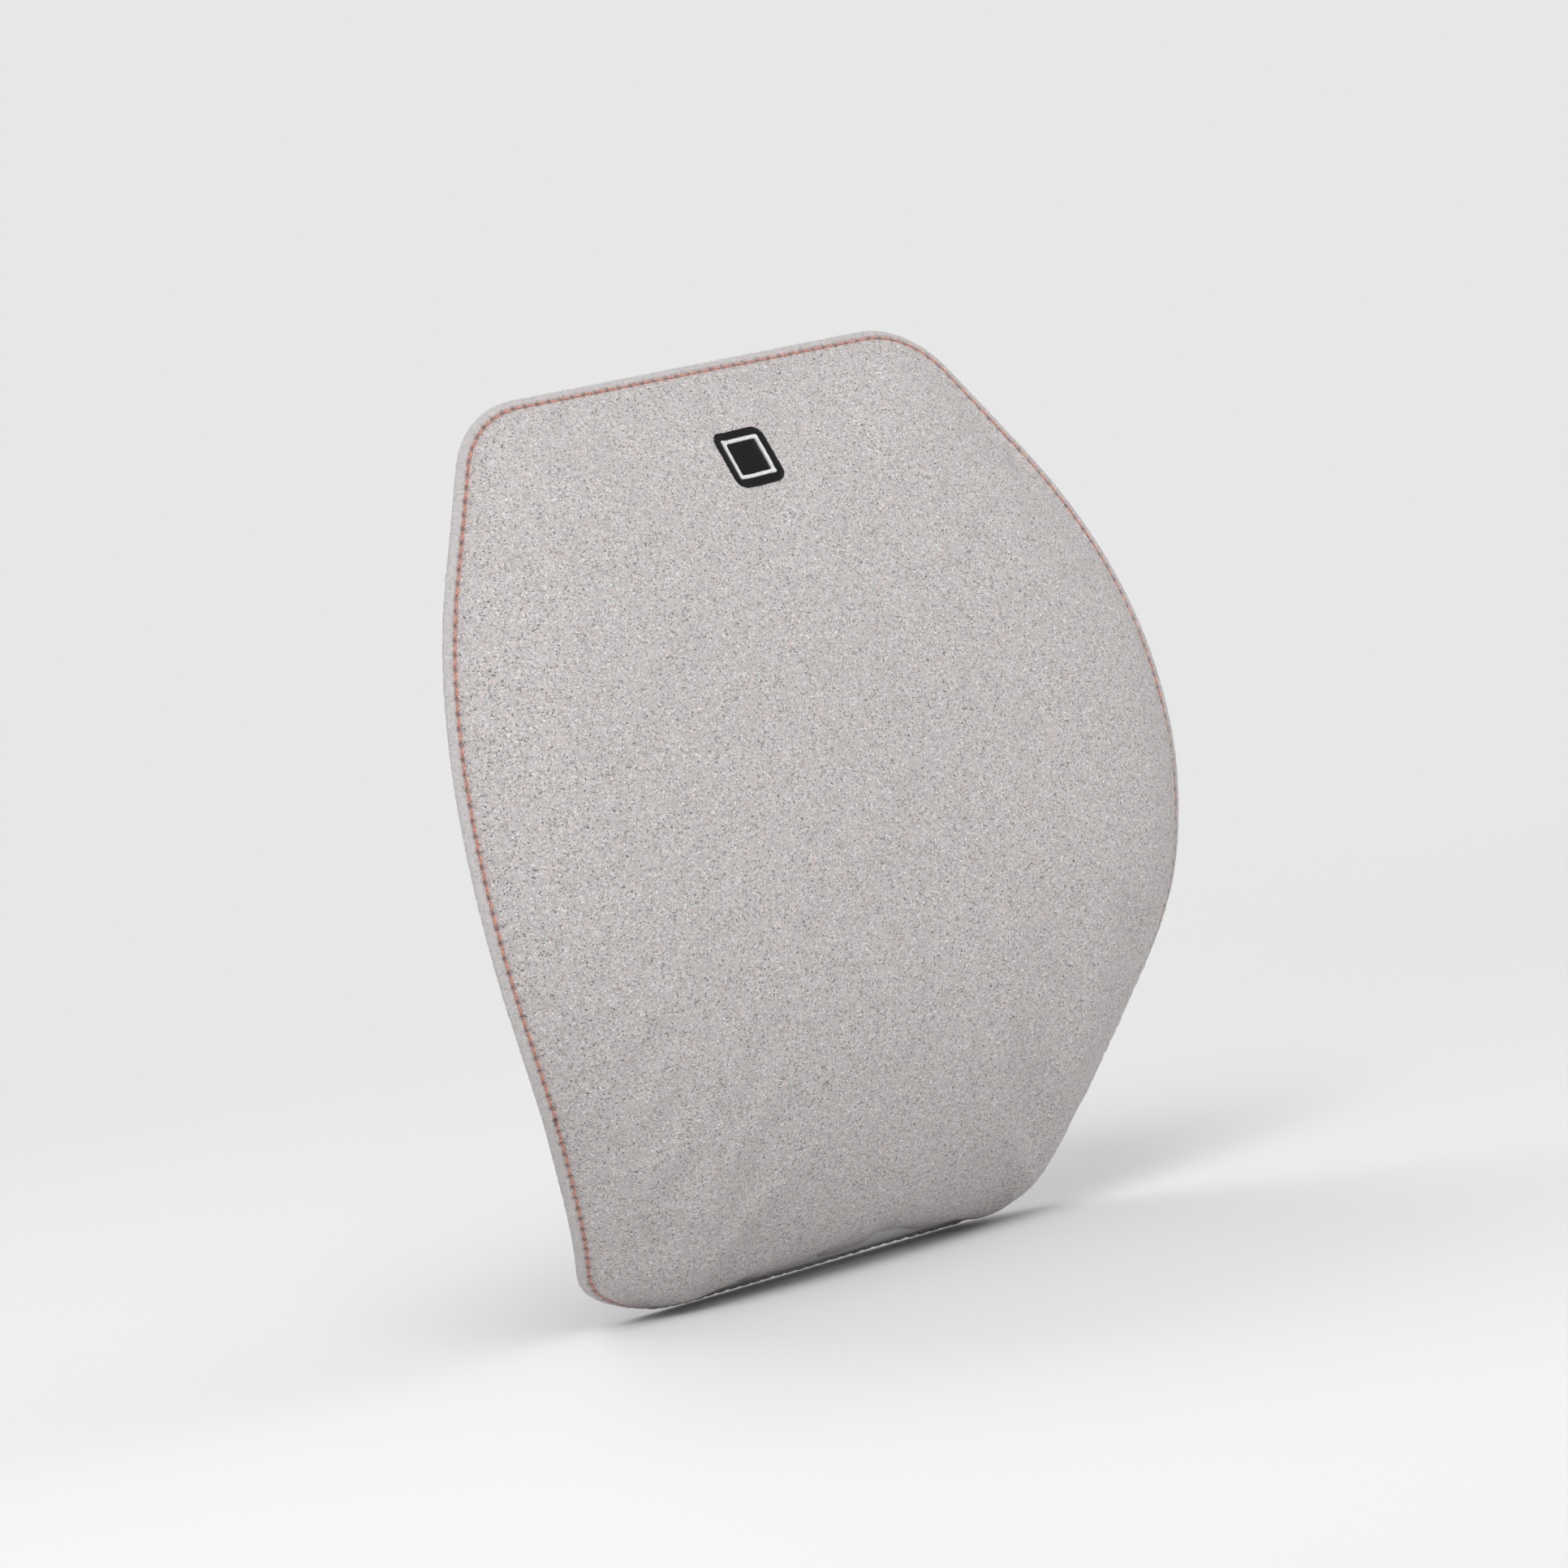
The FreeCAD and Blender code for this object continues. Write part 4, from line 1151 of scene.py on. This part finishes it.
def hook_strip(node):
    """Hook tape: a thin woven base with rows of small crooked hooks."""
    half_long = half_length(node)
    up = HOOKS_UP[node]
    batch = Batch()
    u, v = strip_outline(half_long, HOOK_WIDTH / 2, 3.0).T
    rows = []
    for scale, lift in ((1.0, 0.0), (1.0, 0.45), (0.996, 0.62), (0.985, 0.68)):
        rows.append(place(u * scale, up + v * scale, -(BACK_OUTSIDE + lift)))
    count = len(u)
    faces = grid_faces(len(rows), count, 0, True)
    last = (len(rows) - 1) * count
    faces += [tuple(range(count - 1, -1, -1)), tuple(range(last, last + count))]
    batch.add((np.concatenate(rows), faces))
    rng = random.Random(7 if node.endswith("upper") else 9)
    columns = int((2 * half_long - 2 * HOOK_MARGIN) / HOOK_PITCH_LONG)
    rows_high = int((HOOK_WIDTH - 2 * HOOK_MARGIN) / HOOK_PITCH_HIGH)
    t = np.linspace(0.0, 1.0, 7)
    bend = 0.62 * (1.0 - np.cos(math.pi * t * 0.92)) / 2.0
    rise = 1.02 * np.sin(math.pi * t * 0.78)
    for i in range(columns + 1):
        for j in range(rows_high + 1):
            u = -half_long + HOOK_MARGIN + i * HOOK_PITCH_LONG + (0.5 * HOOK_PITCH_LONG if j % 2 else 0.0)
            if u > half_long - 4.2:
                continue
            v = up - HOOK_WIDTH / 2 + HOOK_MARGIN + j * HOOK_PITCH_HIGH
            lean = 1 if j % 2 else -1
            path = place(u + lean * bend + rng.uniform(-0.08, 0.08), v, -(BACK_OUTSIDE + 0.62 + rise))
            batch.add(tube(path, HOOK_WIRE_R * MM, 5, up=(0.0, 1.0, 0.05)))
    return batch.build(node.replace("hook_strip", "hook_tape"), HOOKS)


def hook_stitches():
    """Box stitching round both hook strips, on their bare margins."""
    batch = Batch()
    inset = 2.4
    b = HOOK_WIDTH / 2 - inset
    for node, up in HOOKS_UP.items():
        a = half_length(node) - inset
        corners = [(-a, up - b), (a, up - b), (a, up + b), (-a, up + b)]
        for start, end in zip(corners, corners[1:] + corners[:1]):
            straight_stitches(batch, start, end, BACK_OUTSIDE + 0.85, 3.0)
    return batch.build("hook_stitches", GREY_THREAD)


# ---- badge ----


def badge_inside(x, y):
    """Distance inwards from the edge of the badge, a rounded square."""
    qx = np.abs(x) - (BADGE_SIDE / 2 - BADGE_R)
    qy = np.abs(y) - (BADGE_SIDE / 2 - BADGE_R)
    outside = np.hypot(np.maximum(qx, 0), np.maximum(qy, 0))
    return BADGE_R - outside - np.minimum(np.maximum(qx, qy), 0)


def white_part(x, y):
    """True on the badge's white ring."""
    d = badge_inside(x, y)
    return (d > BADGE_SIDE / 2 - RING_OUT) & (d < BADGE_SIDE / 2 - RING_IN)


def black_part(x, y):
    """True on the rest of the badge."""
    return (badge_inside(x, y) > 0) & ~white_part(x, y)


def satin_rows(name, material, tree, part, pitch, thickness, slope):
    """Embroidery laid on the felt in parallel threads, each cut to where part(x, y) is true."""
    batch = Batch()
    half = BADGE_SIDE / 2
    count = int(2 * half * 1.6 / pitch)
    rng = random.Random(3)
    way = np.array([math.cos(slope), math.sin(slope)])
    cross = np.array([-way[1], way[0]])
    fine = np.linspace(-half * 1.5, half * 1.5, 600)
    for k in range(count):
        offset = -half * 1.6 + (k + 0.5) * pitch + rng.uniform(-0.03, 0.03)
        line = cross * offset + fine[:, None] * way
        hit = part(line[:, 0], line[:, 1])
        starts = np.flatnonzero(hit & ~np.concatenate([[False], hit[:-1]]))
        ends = np.flatnonzero(hit & ~np.concatenate([hit[1:], [False]]))
        for a, b in zip(starts, ends):
            length = fine[b] - fine[a]
            if length < 0.5:
                continue
            extra = rng.uniform(-0.12, 0.12)
            share = np.linspace(0.0, 1.0, max(5, int(length / 1.4)))
            at = cross * offset + (fine[a] - 0.08 + extra + (length + 0.16) * share)[:, None] * way
            u, v = at[:, 0], SEAM_HEIGHT - BADGE_DOWN + at[:, 1]
            arch = np.clip(np.sin(math.pi * share) * 3.0, 0.0, 1.0) ** 0.5
            path = place(u, v, felt_height(tree, u, v) + thickness * arch - 0.12)
            batch.add(tube(path, 0.60 * pitch * MM * (0.8 + 0.2 * arch), 6))
    return batch.build(name, material)


# ---- label ----


def build_label():
    """Blank satin label, caught along its upper edge, its lower corners lifting a little."""
    low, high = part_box("care_label")
    us = np.linspace(low.x / MM, high.x / MM, 33)
    vs = np.linspace(LABEL_UP - LABEL_HALF, LABEL_UP + LABEL_HALF, 25)
    grid_u, grid_v = np.meshgrid(us, vs, indexing="ij")
    free = (LABEL_UP + LABEL_HALF - grid_v) / (2 * LABEL_HALF)
    side = (grid_u - us[0]) / (us[-1] - us[0])
    curl = free ** 2 * (0.35 + 0.65 * np.abs(2 * side - 1) ** 3)
    lift = 0.15 + curl + 0.12 * np.sin(side * 7.0) * free
    layers = [place(grid_u, grid_v, -(BACK_OUTSIDE + lift + out)).reshape(-1, 3) for out in (0.42, 0.05)]
    n, m = grid_u.shape
    faces = grid_faces(n, m) + [tuple(reversed(f)) for f in grid_faces(n, m, n * m)]
    index = np.arange(n * m).reshape(n, m)
    loop = np.concatenate([index[:-1, 0], index[-1, :-1], index[1:, -1][::-1], index[0, 1:][::-1]])
    loop = np.append(loop, loop[0])
    faces += between(loop, loop + n * m)
    return new_object("label_blank", np.concatenate(layers), faces, LABEL)


# ---- everything in place ----


def dress_hidden():
    """Materials of the pieces inside the covers, and of the CAD pieces that are shown as they are."""
    finish = {
        "liner_front": LINER, "liner_back": LINER, "fibre_wadding": WADDING, "comfort_foam": SOFT_FOAM,
        "foam_core": FIRM_FOAM, "back_board": BOARD, "zip_slider": METAL, "zip_pull_tab": METAL,
        "zip_stops": METAL,
    }
    for name, material in finish.items():
        node = NODES[name]
        node.data.materials.clear()
        node.data.materials.append(material)
        if material is METAL:
            bevel = node.modifiers.new("bevel", "BEVEL")
            bevel.width = 0.00022
            bevel.segments = 3
            bevel.limit_method = "ANGLE"


# strength of the surroundings as light on the object, and as the camera sees them
WORLD_LIGHT = 0.60
WORLD_SEEN = 0.86

FLOOR_HALF = 6.0
FLOOR_FADE_FROM = 0.35
FLOOR_FADE_TO = 1.6
FLOOR_BELOW = 0.0005


def surroundings():
    """Pale surroundings, brighter to the camera than as light."""
    world = bpy.data.worlds.new("pale")
    bpy.context.scene.world = world
    world.use_nodes = True
    w = Nodes(world.node_tree)
    background = w.tree.nodes["Background"].inputs
    seen = w.node("LightPath")["Is Camera Ray"]
    w.feed(background["Color"], (0.93, 0.93, 0.935))
    w.feed(background["Strength"], w.maths("MULTIPLY_ADD", seen, WORLD_SEEN - WORLD_LIGHT, WORLD_LIGHT))


def floor():
    """Plain pale floor that fades out into the surroundings."""
    m = Material("floor_pale")
    m.set(Base_Color=(0.80, 0.80, 0.80), Roughness=0.7)
    away = m.node("VectorMath", m.where(), operation="LENGTH")["Value"]
    fade = m.node("MapRange", away, FLOOR_FADE_FROM, FLOOR_FADE_TO, interpolation_type="SMOOTHSTEP")[0]
    mixed = m.node("MixShader", fade, m.shader.outputs[0], m.node("BsdfTransparent")[0])[0]
    m.feed(m.tree.nodes["Material Output"].inputs["Surface"], mixed)
    line = np.linspace(-FLOOR_HALF, FLOOR_HALF, 25)
    x, y = np.meshgrid(line, line, indexing="ij")
    points = np.stack([x, y, np.full(x.shape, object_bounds()[0].z - FLOOR_BELOW)], -1)
    new_object("floor", points.reshape(-1, 3), grid_faces(25, 25), m.made)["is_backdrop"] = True


def lights():
    """Three soft lights that look at the part: one bright, one that fills the shadows, one behind."""
    for name, stand, size, power in (
        ("key", (-1.2, -1.5, 1.9), 1.4, 41.0),
        ("fill", (1.9, -1.5, 0.7), 1.8, 7.0),
        ("back", (0.5, 2.2, 1.5), 1.8, 22.0),
    ):
        data = bpy.data.lights.new(name, "AREA")
        data.size = size
        data.energy = power
        light = link_new(name, data)
        light.location = stand
        light.rotation_mode = "QUATERNION"
        light.rotation_quaternion = (-Vector(stand)).to_track_quat("-Z", "Y")


def camera():
    """The viewpoint: from the pad's left, almost level, with the camera rolled a little."""
    azimuth, elevation, roll = math.radians(39.35), math.radians(3.28), math.radians(-10.94)
    distance, shift_right, shift_up = 3.0, -0.0178, 0.0210
    level = Vector((math.sin(azimuth), math.cos(azimuth), 0.0))
    ahead = level * math.cos(elevation) - Vector((0.0, 0.0, math.sin(elevation)))
    right = Vector((math.cos(azimuth), -math.sin(azimuth), 0.0))
    up = right.cross(ahead)
    data = bpy.data.cameras.new("camera")
    data.sensor_width = 36.0
    data.lens = 189.9
    data.clip_end = 100.0
    cam = link_new("camera", data)
    rolled_right = math.cos(roll) * right + math.sin(roll) * up
    rolled_up = -math.sin(roll) * right + math.cos(roll) * up
    turn = Matrix((rolled_right, rolled_up, -ahead)).transposed()
    sheet_middle = Vector((0.0, -ORIGIN_BACK, -ORIGIN_UP)) * MM
    stand = sheet_middle - distance * ahead + shift_right * right + shift_up * up
    cam.matrix_world = Matrix.Translation(stand) @ turn.to_4x4()
    bpy.context.scene.camera = cam


face, blown = build_face()
add(face, "face_felt", "front_cover")
add(nap_fibres(blown), "face_felt")
add(stitch_ring("topstitches", ORANGE, 1, -0.15, 0.85, 0.35), "orange_thread", "topstitch_thread")
add(stitch_ring("bobbin_stitches", DARK_THREAD, -1, 0.35, 0.38, 0.1), "dark_thread")
black = satin_rows("badge_black_stitch", BADGE_BLACK, blown, black_part, 0.42, 0.55, 0.0)
white = satin_rows("badge_white_stitch", BADGE_WHITE, blown, white_part, 0.36, 0.62, math.radians(45))
add(black, "badge_black", "badge_fill")
add(white, "badge_white", "badge_ring")
add(build_back_panel(1), "back_cloth", "back_cover_upper")
add(build_back_panel(-1), "back_cloth", "back_cover_lower")
add(ribbon("tape_upper", 1), "zip_tape", "zip_tape_upper")
add(ribbon("tape_lower", -1), "zip_tape", "zip_tape_lower")
add(coil("coil_upper", 1), "zip_coil", "zip_coil_upper")
add(coil("coil_lower", -1), "zip_coil", "zip_coil_lower")
add(zip_stitches(), "dark_thread", "zip_stitching")
add(hook_strip("hook_strip_upper"), "hook_tape", "hook_strip_upper")
add(hook_strip("hook_strip_lower"), "hook_tape", "hook_strip_lower")
add(hook_stitches(), "dark_thread", "hook_stitching")
add(build_label(), "label_satin", "care_label")
dress_hidden()
surroundings()
floor()
lights()
camera()
bpy.context.scene.view_settings.view_transform = "Standard"
